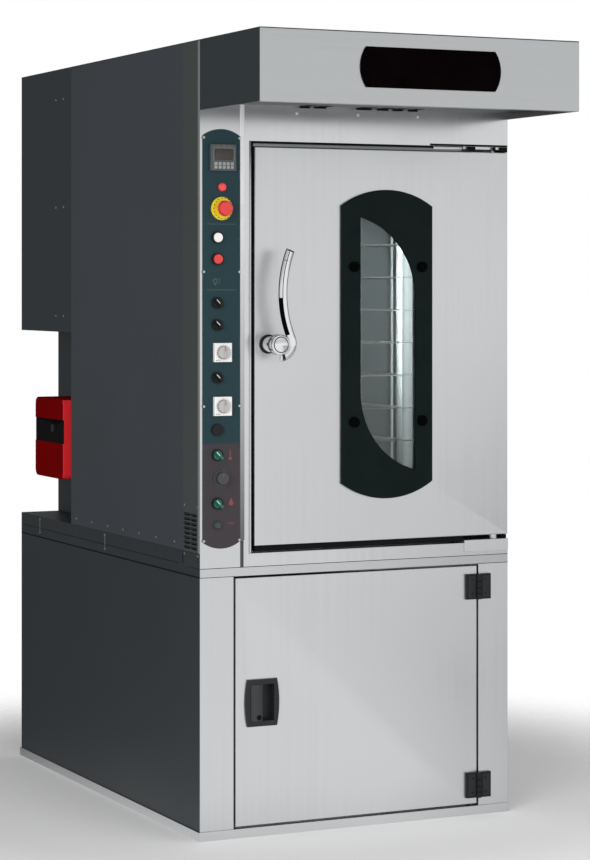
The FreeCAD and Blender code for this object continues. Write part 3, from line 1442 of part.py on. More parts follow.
# Digital controller, pilot lamps, emergency stop
controller_x = left + d.controller_from_left
controller_face = panel_face - d.controller_thick
controller_z = panel_foot + d.controller_rise
display_z = controller_z + d.display_lift
case_x = (controller_x - d.controller_wide / 2, controller_x + d.controller_wide / 2)
case_z = (controller_z - d.controller_tall / 2, controller_z + d.controller_tall / 2)
controller = cut(
    "controller_form",
    block("controller_case", case_x, (controller_face, panel_face), case_z),
    block("controller_display",
          (controller_x - d.display_wide / 2, controller_x + d.display_wide / 2),
          (controller_face - d.display_deep, controller_face + d.display_deep),
          (display_z - d.display_tall / 2, display_z + d.display_tall / 2)))
node("temperature_controller", softened(
    "temperature_controller", controller, d.controller_round, on_rim(case_x, controller_face, case_z)))
pilots = []
for name, centre in (("high", (left + d.pilot_from_left, panel_foot + d.pilot_rise)),
                     ("low", (left + d.switch_from_left, panel_foot + d.pilot_low_rise))):
    rim = panel_face - d.pilot_rim
    pilots.append(fuse(
        f"pilot_{name}",
        rod(f"pilot_{name}_rim", "y", centre, d.pilot_radius, (rim, panel_face)),
        taper(f"pilot_{name}_dome", "y", centre, (d.pilot_nose, d.pilot_radius), (rim - d.pilot_dome, rim))))
node("pilot_lamps", *pilots)
estop = (left + d.estop_from_left, panel_foot + d.estop_rise)
disc_face = panel_face - d.estop_disc_thick
sleeve_face = disc_face - d.estop_sleeve_long
estop_ring = cut(
    "estop_ring",
    fuse(
        "estop_base",
        rod("estop_disc_plate", "y", estop, d.estop_disc, (disc_face, panel_face)),
        rod("estop_sleeve_tube", "y", estop, d.estop_sleeve, (sleeve_face, disc_face))),
    rod("estop_bore", "y", estop, d.estop_stem + d.run_gap, (sleeve_face - d.skin, panel_face + d.skin)))
node("estop_collar", softened("estop_collar", estop_ring, d.estop_disc_round, round_at(disc_face, d.estop_disc)))
head_back = sleeve_face - d.estop_head_gap
head_front = head_back - d.estop_head_thick
mushroom = fuse(
    "estop_mushroom",
    rod("estop_stem_rod", "y", estop, d.estop_stem, (head_back, panel_face - d.estop_stem_back)),
    taper("estop_head_cap", "y", estop, (d.estop_head_front, d.estop_head), (head_front, head_back)))
node("estop_button", softened("estop_button", mushroom, d.estop_round, round_at(head_front, d.estop_head_front)))

# Bezels, push buttons and selectors
switch_x = left + d.switch_from_left
bezel_front = panel_face - d.bezel_thick
push_front = panel_face - d.push_bezel_thick


def bezel_ring(name, rise, thick, hole):
    """Return a bezel ring standing on the panel."""
    centre = (switch_x, rise)
    return cut(
        name,
        rod(f"{name}_outer", "y", centre, d.bezel_radius, (panel_face - thick, panel_face)),
        rod(f"{name}_inner", "y", centre, hole + d.run_gap, (panel_face - thick * 2, panel_face + thick)))


pushes = {"start_button": panel_foot + d.start_rise, "stop_button": panel_foot + d.stop_rise}
selectors = {
    "light_selector": panel_foot + d.light_selector_rise,
    "steam_selector": panel_foot + d.steam_selector_rise,
    "fan_selector": panel_foot + d.fan_selector_rise,
    "prover_selector": panel_foot + d.prover_selector_rise,
    "humidity_selector": panel_foot + d.humidity_selector_rise,
}
bezels = [bezel_ring(f"{name}_bezel", rise, d.push_bezel_thick, d.push_radius) for name, rise in pushes.items()]
bezels += [bezel_ring(f"{name}_bezel", rise, d.bezel_thick, d.selector_radius) for name, rise in selectors.items()]
buzzer = (switch_x, panel_foot + d.buzzer_rise)
bezels.append(rod("buzzer_cap", "y", buzzer, d.bezel_radius, (panel_face - d.buzzer_thick, panel_face)))
node("switch_bezels", *bezels)
cap_front = push_front - d.push_proud
for name, rise in pushes.items():
    centre = (switch_x, rise)
    cap = cut(
        f"{name}_cap",
        rod(f"{name}_plunger", "y", centre, d.push_radius, (cap_front, panel_face - d.push_back)),
        rod(f"{name}_dish", "y", centre, d.push_dish, (cap_front - d.push_dish_deep, cap_front + d.push_dish_deep)))
    node(name, softened(name, cap, d.push_round, round_at(cap_front, d.push_radius)))
grip_back = bezel_front - d.run_gap
grip_side = d.grip_wide / 2
grip_end = d.grip_long / 2 - grip_side
for name, rise in selectors.items():
    grip = prism(
        f"{name}_grip", "XZ_Plane", rectangle((-grip_side, grip_side), (-grip_end, grip_end)), d.grip_thick,
        (switch_x, grip_back, rise), {0: (grip_side * GRIP_END, 1), 2: (grip_side * GRIP_END, 1)})
    lean(grip, d.grip_turn)
    base = rod(f"{name}_base", "y", (switch_x, rise), d.selector_radius,
               (grip_back - d.selector_back, panel_face - d.selector_back))
    node(name, fuse(name, base, grip))

# Timers with their dials, and the thermostat knob
timer_x = left + d.timer_from_left
timer_face = panel_face - d.timer_thick
dial_back = timer_face - d.run_gap
dial_front = dial_back - d.dial_thick
timer_half = d.timer_side / 2
ridge_half = (d.dial_radius - d.dial_round) * RIDGE_SHARE
timers = {
    "bake_timer_dial": panel_foot + d.bake_timer_rise,
    "steam_timer_dial": panel_foot + d.steam_timer_rise,
}
frames = []
for name, rise in timers.items():
    centre = (timer_x, rise)
    case_x = (timer_x - timer_half, timer_x + timer_half)
    case_z = (rise - timer_half, rise + timer_half)
    case = cut(
        f"{name}_case",
        block(f"{name}_block", case_x, (timer_face, panel_face), case_z),
        rod(f"{name}_hole", "y", centre, d.dial_stem + d.run_gap, (timer_face - d.run_gap, panel_face - d.run_gap)))
    frames.append(softened(f"{name}_frame", case, d.timer_round, on_rim(case_x, timer_face, case_z)))
    dial = fuse(
        f"{name}_form",
        rod(f"{name}_disc", "y", centre, d.dial_radius, (dial_front, dial_back)),
        rod(f"{name}_stem", "y", centre, d.dial_stem, (dial_back, timer_face + d.dial_stem_long)),
        block(f"{name}_ridge", (timer_x - d.dial_ridge_wide / 2, timer_x + d.dial_ridge_wide / 2),
              (dial_front - d.dial_ridge_thick, dial_front), (rise - ridge_half, rise + ridge_half)))
    node(name, softened(name, dial, d.dial_round, round_at(dial_front, d.dial_radius)))
node("timer_frames", *frames)
knob_back = panel_face - d.run_gap
skirt_front = knob_back - d.knob_skirt_thick
grip_front = skirt_front - d.knob_grip_thick
grip_nose = d.knob_grip * KNOB_TAPER
knob = fuse(
    "knob_form",
    rod("knob_skirt_disc", "y", knob_centre, d.knob_skirt, (skirt_front, knob_back)),
    taper("knob_grip_barrel", "y", knob_centre, (grip_nose, d.knob_grip), (grip_front, skirt_front)),
    rod("knob_stem_rod", "y", knob_centre, d.knob_stem, (knob_back, knob_back + d.knob_stem_long)))
node("thermostat_knob", softened("thermostat_knob", knob, d.knob_round, round_at(grip_front, grip_nose)))

# Checks and export
doc.recompute()
faults = []
for item in doc.Objects:
    if "Invalid" in item.State or "Error" in item.State:
        faults.append(f"{item.Name}: {item.State}")
for name, item in nodes.items():
    shape = item.Shape
    if shape.isNull() or not shape.isValid() or not shape.Solids or shape.Volume <= 0:
        faults.append(f"{name}: bad shape")
if faults:
    raise RuntimeError("; ".join(faults))
os.makedirs("parts", exist_ok=True)
for name, item in nodes.items():
    item.Shape.exportStep(f"parts/{name}.step")
    print(name, len(item.Shape.Solids), round(item.Shape.Volume / 1000.0, 1))
print("nodes", len(nodes))
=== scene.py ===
import json
import logging
import math
from dataclasses import dataclass
from enum import Enum, StrEnum, auto
from functools import cache

import bmesh
import bpy
from mathutils import Euler, Matrix, Vector


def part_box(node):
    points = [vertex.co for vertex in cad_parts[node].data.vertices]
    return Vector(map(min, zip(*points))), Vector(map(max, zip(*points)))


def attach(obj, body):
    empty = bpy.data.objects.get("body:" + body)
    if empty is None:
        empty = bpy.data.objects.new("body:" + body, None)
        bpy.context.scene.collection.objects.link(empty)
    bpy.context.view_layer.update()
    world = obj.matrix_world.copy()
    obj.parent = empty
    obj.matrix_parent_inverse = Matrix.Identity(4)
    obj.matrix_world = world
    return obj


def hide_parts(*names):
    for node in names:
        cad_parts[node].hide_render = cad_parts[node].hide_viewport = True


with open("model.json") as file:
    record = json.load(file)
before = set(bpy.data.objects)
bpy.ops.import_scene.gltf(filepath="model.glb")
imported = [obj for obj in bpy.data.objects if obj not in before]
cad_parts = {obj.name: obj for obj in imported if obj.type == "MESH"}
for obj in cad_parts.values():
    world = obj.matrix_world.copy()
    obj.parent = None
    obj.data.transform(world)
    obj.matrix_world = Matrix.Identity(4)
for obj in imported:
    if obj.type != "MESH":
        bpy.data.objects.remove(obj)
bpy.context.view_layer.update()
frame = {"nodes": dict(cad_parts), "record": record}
LOG = logging.getLogger("bakery_oven")
MM = 0.001
CASE = "carcass"
NO_LIGHT = (0.0, 0.0, 0.0)
Colour = tuple[float, float, float]
Point = tuple[float, float, float]
Pair = tuple[float, float]
Box = tuple[Point, Point]
Socket = bpy.types.NodeSocket
Material = bpy.types.Material
Mesh = bpy.types.Mesh
Node = bpy.types.Node
Tree = bpy.types.NodeTree


class Slot(StrEnum):
    """The material slots of the record, which has their names in small letters."""

    STAINLESS = auto()
    DARK_PAINT = auto()
    CHROME = auto()
    BLACK_PLASTIC = auto()
    BLACK_GLASS = auto()
    SIGN_BLACK = auto()
    PANEL_PRINT = auto()
    WHITE_PLASTIC = auto()
    RED_PLASTIC = auto()
    RED_LENS = auto()
    YELLOW_PLASTIC = auto()
    GREEN_PLASTIC = auto()
    GREY_PLASTIC = auto()
    CLEAR_GLASS = auto()
    LAMP_GLASS = auto()
    SEAL_RUBBER = auto()
    BURNER_RED = auto()
    TRAY_ALUMINIUM = auto()
    HEAT_STEEL = auto()
    MOTOR_GREY = auto()
    MINERAL_WOOL = auto()


class Axis(Enum):
    """The axes of the frame, by index."""

    X = 0
    Y = 1
    Z = 2


class Facing(Enum):
    """The way a fastener or mark faces, as the turn that takes +Z to it."""

    FRONT = (math.pi / 2, 0.0, 0.0)
    REAR = (-math.pi / 2, 0.0, 0.0)
    LEFT = (0.0, -math.pi / 2, 0.0)
    RIGHT = (0.0, math.pi / 2, 0.0)
    UP = (0.0, 0.0, 0.0)


# Node trees
class NodeGraph:
    """A node tree with short calls for its nodes."""

    def __init__(self, tree: Tree) -> None:
        """Take a tree to fill, and empty it."""
        self.tree = tree
        tree.nodes.clear()

    def add(self, kind: str, inputs: dict | None = None, **settings: object) -> Node:
        """Add a node.

        Args:
            kind: Type name of the node.
            inputs: Values or sockets by input name or index.
            settings: Properties of the node.

        Returns:
            The node.
        """
        node = self.tree.nodes.new(kind)
        for key, value in settings.items():
            setattr(node, key, value)
        for key, value in (inputs or {}).items():
            if isinstance(value, Socket):
                self.tree.links.new(value, node.inputs[key])
            else:
                node.inputs[key].default_value = value
        return node

    def calc(self, operation: str, first: object, second: object) -> Socket:
        """Add a math node for an operation on two values or sockets, and return its result."""
        return self.add("ShaderNodeMath", {0: first, 1: second}, operation=operation).outputs[0]

    def remap(self, value: Socket, source: Pair, target: Pair, **settings: object) -> Socket:
        """Map a value from a source range to a target range."""
        inputs = dict(enumerate((value, *source, *target)))
        return self.add("ShaderNodeMapRange", inputs, **settings).outputs[0]

    def part(self, vector: Socket, axis: Axis) -> Socket:
        """Return a vector's component on an axis."""
        return self.add("ShaderNodeSeparateXYZ", {0: vector}).outputs[axis.value]

    def dot(self, vector: Socket, way: Point) -> Socket:
        """Return how far a vector goes a certain way."""
        return self.add("ShaderNodeVectorMath", {0: vector, 1: way}, operation="DOT_PRODUCT").outputs["Value"]


class ShaderGraph(NodeGraph):
    """A material with short calls for the shader nodes that the finishes share."""

    def __init__(self, name: str) -> None:
        """Make an empty material.

        Args:
            name: Name of the material.
        """
        self.material = bpy.data.materials.new(name)
        self.material.use_nodes = True
        super().__init__(self.material.node_tree)
        self.coords = self.add("ShaderNodeTexCoord").outputs["Object"]

    def noise(self, scale: float, detail: float = 3.0, stretch: Point = (1.0, 1.0, 1.0)) -> Socket:
        """Return a noise over object coordinates, by scale per metre, octaves and a factor on each axis."""
        place = self.add("ShaderNodeMapping", {"Vector": self.coords, "Scale": stretch}).outputs[0]
        return self.add("ShaderNodeTexNoise", {"Vector": place, "Scale": scale, "Detail": detail}).outputs[0]

    def spread(self, value: Socket, low: float, high: float) -> Socket:
        """Map a noise value, about 0.25 to 0.75, to the range from low to high."""
        return self.remap(value, (0.25, 0.75), (low, high))

    def total(self, *values: tuple[Socket, float, float]) -> Socket:
        """Add up noise values, each mapped to a range of its own.

        Args:
            values: Each noise value with the low and the high end of its range.

        Returns:
            The sum.
        """
        result = self.spread(*values[0])
        for value in values[1:]:
            result = self.calc("ADD", result, self.spread(*value))
        return result

    def mix(self, factor: object, first: object, second: object) -> Socket:
        """Mix two colours or sockets by the share of the second."""
        values = [(*item, 1.0) if isinstance(item, tuple) else item for item in (first, second)]
        return self.add("ShaderNodeMix", {0: factor, 6: values[0], 7: values[1]}, data_type="RGBA").outputs[2]

    def within(self, axis: Axis, low: float, high: float) -> Socket:
        """Return a mask of the places between two values on one axis.

        Args:
            axis: Axis of the frame.
            low: Low end in metres.
            high: High end in metres.

        Returns:
            One inside the band and zero outside.
        """
        place = self.part(self.coords, axis)
        above = self.calc("GREATER_THAN", place, low)
        return self.calc("MULTIPLY", above, self.calc("LESS_THAN", place, high))

    def facing(self, axis: Axis) -> Socket:
        """Return how far each face looks along an axis."""
        return self.part(self.add("ShaderNodeNewGeometry").outputs["True Normal"], axis)

    def bump(self, height: Socket, strength: float, depth: float) -> Socket:
        """Return the normal bent by a height, with a strength and a depth in metres."""
        inputs = {"Height": height, "Strength": strength, "Distance": depth}
        return self.add("ShaderNodeBump", inputs).outputs[0]

    def surface(self, colour: object, rough: object, normal: Socket, **inputs: object) -> Material:
        """End the tree with a principled surface.

        Args:
            colour: Base colour, as a socket.
            rough: Roughness.
            normal: Bent normal.
            inputs: Other inputs, with underscores for the spaces in their names.

        Returns:
            The material.
        """
        named = {key.replace("_", " "): value for key, value in inputs.items()}
        named |= {"Base Color": colour, "Roughness": rough, "Normal": normal}
        return self.output(self.add("ShaderNodeBsdfPrincipled", named).outputs[0])

    def output(self, shader: Socket) -> Material:
        """Link a shader to the output and return the material."""
        self.add("ShaderNodeOutputMaterial", {0: shader})
        return self.material


# Finishes
GRAIN_STRETCH = 0.012
UPRIGHT_GRAIN = (1.0, 1.0, GRAIN_STRETCH)


@dataclass(frozen=True)
class Finish:
    """A finish with its name and the record's slot that it belongs to."""

    name: str
    slot: Slot

    def build(self, graph: ShaderGraph) -> Material:
        """Fill an empty material's node tree and return the material."""
        raise NotImplementedError

    def material(self) -> Material:
        """Return the material, made on first use."""
        made = bpy.data.materials.get(self.name)
        return made if made else self.build(ShaderGraph(self.name))


@dataclass(frozen=True)
class BrushedSteel(Finish):
    """Metal sheet with a drawn grain, faint smudges and a roughness that varies."""

    tone: Colour = (0.665, 0.676, 0.686)
    rough: float = 0.31
    grain: Axis = Axis.Z
    metal: float = 1.0
    streak: float = 0.03

    def build(self, graph: ShaderGraph) -> Material:
        """Fill the node tree.

        Args:
            graph: Empty material.

        Returns:
            The material.
        """
        stretch = tuple(GRAIN_STRETCH if axis is self.grain else 1.0 for axis in Axis)
        fine = graph.noise(900.0, 2.0, stretch)
        broad = graph.noise(60.0, 3.0, stretch)
        smudge = graph.noise(3.2, 4.0)
        shade = graph.spread(broad, 1.0 - self.streak, 1.0 + self.streak)
        worn = graph.calc("MULTIPLY", shade, graph.spread(smudge, 0.97, 1.03))
        tint = graph.mix(worn, NO_LIGHT, self.tone)
        rough = graph.total((fine, self.rough - 0.04, self.rough + 0.04), (smudge, -0.03, 0.05))
        normal = graph.bump(fine, 0.12, 0.04 * MM)
        return graph.surface(tint, rough, normal, Metallic=self.metal, Anisotropic=0.35)


@dataclass(frozen=True)
class HighlightPaintedSteel(Finish):
    """Polished bend with a painted highlight: its tone runs from a dull foot to a near-white head."""

    # Painted light: foot is the painted shade low on the bend, head the painted highlight at its top.
    foot: Colour = (0.10, 0.104, 0.107)
    head: Colour = (0.97, 0.98, 0.99)
    reach: Pair = (0.84, 2.07)

    def build(self, graph: ShaderGraph) -> Material:
        """Fill the node tree.

        Args:
            graph: Empty material.

        Returns:
            The material.
        """
        share = graph.remap(graph.part(graph.coords, Axis.Z), self.reach, (0.0, 1.0))
        grain = graph.noise(260.0, 2.0, UPRIGHT_GRAIN)
        # Painted highlight: the tone climbs with height from foot to head.
        tint = graph.mix(graph.calc("MULTIPLY", share, graph.spread(grain, 0.97, 1.0)), self.foot, self.head)
        return graph.surface(tint, 0.38, graph.bump(grain, 0.08, 0.03 * MM), Metallic=0.15)


@dataclass(frozen=True)
class PaintedSteel(Finish):
    """Powder-coated sheet with orange peel and faint dust."""

    tone: Colour
    rough: float = 0.46
    gloss: float = 0.3

    def build(self, graph: ShaderGraph) -> Material:
        """Fill the node tree.

        Args:
            graph: Empty material.

        Returns:
            The material.
        """
        peel = graph.noise(420.0, 2.0)
        cloud = graph.noise(2.4, 4.0)
        dusty = tuple(channel * 1.16 + 0.004 for channel in self.tone)
        tint = graph.mix(graph.spread(cloud, 0.0, 1.0), self.tone, dusty)
        rough = graph.total((cloud, self.rough - 0.05, self.rough + 0.07), (peel, -0.02, 0.02))
        return graph.surface(tint, rough, graph.bump(peel, 0.1, 0.2 * MM), Specular_IOR_Level=self.gloss)


@dataclass(frozen=True)
class FrontedSteel(Finish):
    """Painted sheet whose front or inner face is bare brushed metal."""

    paint: Colour = (0.019, 0.022, 0.025)
    bare: Colour = (0.640, 0.650, 0.660)
    inner: bool = False

    def build(self, graph: ShaderGraph) -> Material:
        """Fill the node tree.

        Args:
            graph: Empty material.

        Returns:
            The material.
        """
        if self.inner:
            outward = graph.calc("MULTIPLY", graph.facing(Axis.X), graph.part(graph.coords, Axis.X))
            front = graph.calc("LESS_THAN", outward, -0.3)
        else:
            front = graph.calc("LESS_THAN", graph.facing(Axis.Y), -0.5)
        grain = graph.noise(700.0, 2.0, UPRIGHT_GRAIN)
        cloud = graph.noise(3.0, 4.0)
        bare = graph.mix(graph.spread(cloud, 0.96, 1.04), NO_LIGHT, self.bare)
        rough = graph.total((front, 0.43, 0.20), (cloud, -0.03, 0.04), (grain, -0.03, 0.03))
        normal = graph.bump(grain, 0.08, 0.05 * MM)
        tint = graph.mix(front, self.paint, bare)
        return graph.surface(tint, rough, normal, Metallic=front, Specular_IOR_Level=0.3)


@dataclass(frozen=True)
class Polished(Finish):
    """Bright plated metal with a faint haze of wear."""

    tone: Colour = (0.82, 0.83, 0.84)
    rough: float = 0.07

    def build(self, graph: ShaderGraph) -> Material:
        """Fill the node tree.

        Args:
            graph: Empty material.

        Returns:
            The material.
        """
        haze = graph.noise(38.0, 5.0)
        scuff = graph.noise(240.0, 2.0, (1.0, 1.0, 0.2))
        rough = graph.total((haze, self.rough * 0.6, self.rough * 1.6), (scuff, 0.0, 0.02))
        tint = graph.mix(graph.spread(haze, 0.95, 1.0), NO_LIGHT, self.tone)
        return graph.surface(tint, rough, graph.bump(scuff, 0.03, 0.1 * MM), Metallic=1.0)


@dataclass(frozen=True)
class Moulded(Finish):
    """Moulded plastic, lacquer or rubber with a fine grain."""

    tone: Colour
    rough: float = 0.4
    grain: float = 600.0
    depth: float = 0.1 * MM
    gloss: float = 0.3
    coat: float = 0.0
    glow: float = 0.0
    dust: float = 0.004

    def build(self, graph: ShaderGraph) -> Material:
        """Fill the node tree.

        Args:
            graph: Empty material.

        Returns:
            The material.
        """
        fine = graph.noise(self.grain, 3.0)
        cloud = graph.noise(14.0, 4.0)
        worn = tuple(min(1.0, channel * 1.1 + self.dust) for channel in self.tone)
        tint = graph.mix(graph.spread(cloud, 0.0, 1.0), self.tone, worn)
        rough = graph.total((cloud, self.rough - 0.04, self.rough + 0.06), (fine, -0.03, 0.03))
        return graph.surface(
            tint, rough, graph.bump(fine, 0.12, self.depth), Specular_IOR_Level=self.gloss,
            Coat_Weight=self.coat, Coat_Roughness=0.05, Emission_Color=(*self.tone, 1.0),
            Emission_Strength=self.glow)


@dataclass(frozen=True)
class PrintedPanel(Finish):
    """Printed foil of the control panel: a cool upper field, a warm lower one and thin rules."""

    upper: Colour = (0.0122, 0.039, 0.047)
    lower: Colour = (0.0448, 0.0383, 0.0432)
    rule: Colour = (0.055, 0.085, 0.090)
    border: float = 1.121
    rules: Pair = (1.556, 1.742)
    rule_half: float = 1.1 * MM
    rule_ends: Pair = (-0.480, -0.390)

    def build(self, graph: ShaderGraph) -> Material:
        """Fill the node tree.

        Args:
            graph: Empty material.

        Returns:
            The material.
        """
        cloud = graph.noise(7.0, 3.0)
        fine = graph.noise(900.0, 2.0)
        tint = graph.mix(graph.within(Axis.Z, 0.0, self.border), self.upper, self.lower)
        for height in self.rules:
            line = graph.within(Axis.Z, height - self.rule_half, height + self.rule_half)
            inset = graph.within(Axis.X, *self.rule_ends)
            tint = graph.mix(graph.calc("MULTIPLY", line, inset), tint, self.rule)
        rough = graph.total((cloud, 0.30, 0.40), (fine, -0.02, 0.02))
        return graph.surface(tint, rough, graph.bump(fine, 0.06, 0.1 * MM), Specular_IOR_Level=0.2)


@dataclass(frozen=True)
class BandedCover(Finish):
    """Red burner cover with the dark band across its outer face, and painted light: a lit red on its front
    faces, a shaded red on the others.
    """

    # Painted light: red is the painted shade of the side faces, rim the painted lit red of the front faces;
    # faded is random wear.
    red: Colour = (0.17, 0.0020, 0.0030)
    faded: Colour = (0.13, 0.0015, 0.002)
    rim: Colour = (0.78, 0.0260, 0.0340)
    band: Colour = (0.010, 0.010, 0.011)
    band_z: Pair = (1.059, 1.135)
    band_x: Pair = (-1.0, -0.4915)

    def build(self, graph: ShaderGraph) -> Material:
        """Fill the node tree.

        Args:
            graph: Empty material.

        Returns:
            The material.
        """
        peel = graph.noise(380.0, 2.0)
        cloud = graph.noise(9.0, 4.0)
        worn = graph.mix(graph.spread(cloud, 0.0, 0.35), self.red, self.faded)
        # Painted light: faces towards the front take the lit rim red.
        red = graph.mix(graph.calc("LESS_THAN", graph.facing(Axis.Y), -0.5), worn, self.rim)
        level = graph.within(Axis.Z, *self.band_z)
        tint = graph.mix(graph.calc("MULTIPLY", level, graph.within(Axis.X, *self.band_x)), red, self.band)
        rough = graph.total((cloud, 0.30, 0.40), (peel, -0.02, 0.02))
        return graph.surface(tint, rough, graph.bump(peel, 0.1, 0.2 * MM), Specular_IOR_Level=0.0)


@dataclass(frozen=True)
class PilotLens(Finish):
    """Lamp lens that is lit above a level and dark below it."""

    lit: Colour = (0.78, 0.035, 0.040)
    glint: Colour = (0.90, 0.20, 0.20)
    dark: Colour = (0.040, 0.052, 0.055)
    lit_z: Pair = (1.2, 9.0)

    def build(self, graph: ShaderGraph) -> Material:
        """Fill the node tree.

        Args:
            graph: Empty material.

        Returns:
            The material.
        """
        ribs = graph.noise(500.0, 2.0)
        cloud = graph.noise(60.0, 3.0)
        lit = graph.mix(graph.spread(cloud, 0.0, 0.4), self.lit, self.glint)
        tint = graph.mix(graph.within(Axis.Z, *self.lit_z), self.dark, lit)
        return graph.surface(
            tint, graph.spread(cloud, 0.16, 0.28), graph.bump(ribs, 0.1, 0.2 * MM), Specular_IOR_Level=0.3,
            Emission_Color=tint, Emission_Strength=0.12)


@dataclass(frozen=True)
class ThinGlass(Finish):
    """Clear pane that shows what lies behind it, with a gloss that grows at flat angles."""

    tone: Colour = (0.925, 0.955, 0.95)
    bend: float = 1.35

    def build(self, graph: ShaderGraph) -> Material:
        """Fill the node tree.

        Args:
            graph: Empty material.

        Returns:
            The material.
        """
        smear = graph.noise(16.0, 4.0)
        gloss = graph.add("ShaderNodeBsdfGlossy", {"Roughness": graph.spread(smear, 0.02, 0.08)})
        clear = graph.add("ShaderNodeBsdfTransparent", {"Color": (*self.tone, 1.0)})
        flat = graph.add("ShaderNodeFresnel", {"IOR": self.bend}).outputs[0]
        share = graph.calc("MULTIPLY", flat, graph.spread(smear, 0.75, 1.0))
        mixed = graph.add("ShaderNodeMixShader", {0: share, 1: clear.outputs[0], 2: gloss.outputs[0]})
        return graph.output(mixed.outputs[0])


@dataclass(frozen=True)
class Fibrous(Finish):
    """Mineral wool with matted fibres."""

    tone: Colour = (0.33, 0.30, 0.20)

    def build(self, graph: ShaderGraph) -> Material:
        """Fill the node tree.

        Args:
            graph: Empty material.

        Returns:
            The material.
        """
        fibre = graph.noise(220.0, 6.0, (1.0, 0.25, 0.25))
        lighter = tuple(channel * 1.5 for channel in self.tone)
        tint = graph.mix(graph.spread(fibre, 0.0, 1.0), self.tone, lighter)
        return graph.surface(tint, 0.95, graph.bump(fibre, 0.6, 2.0 * MM))


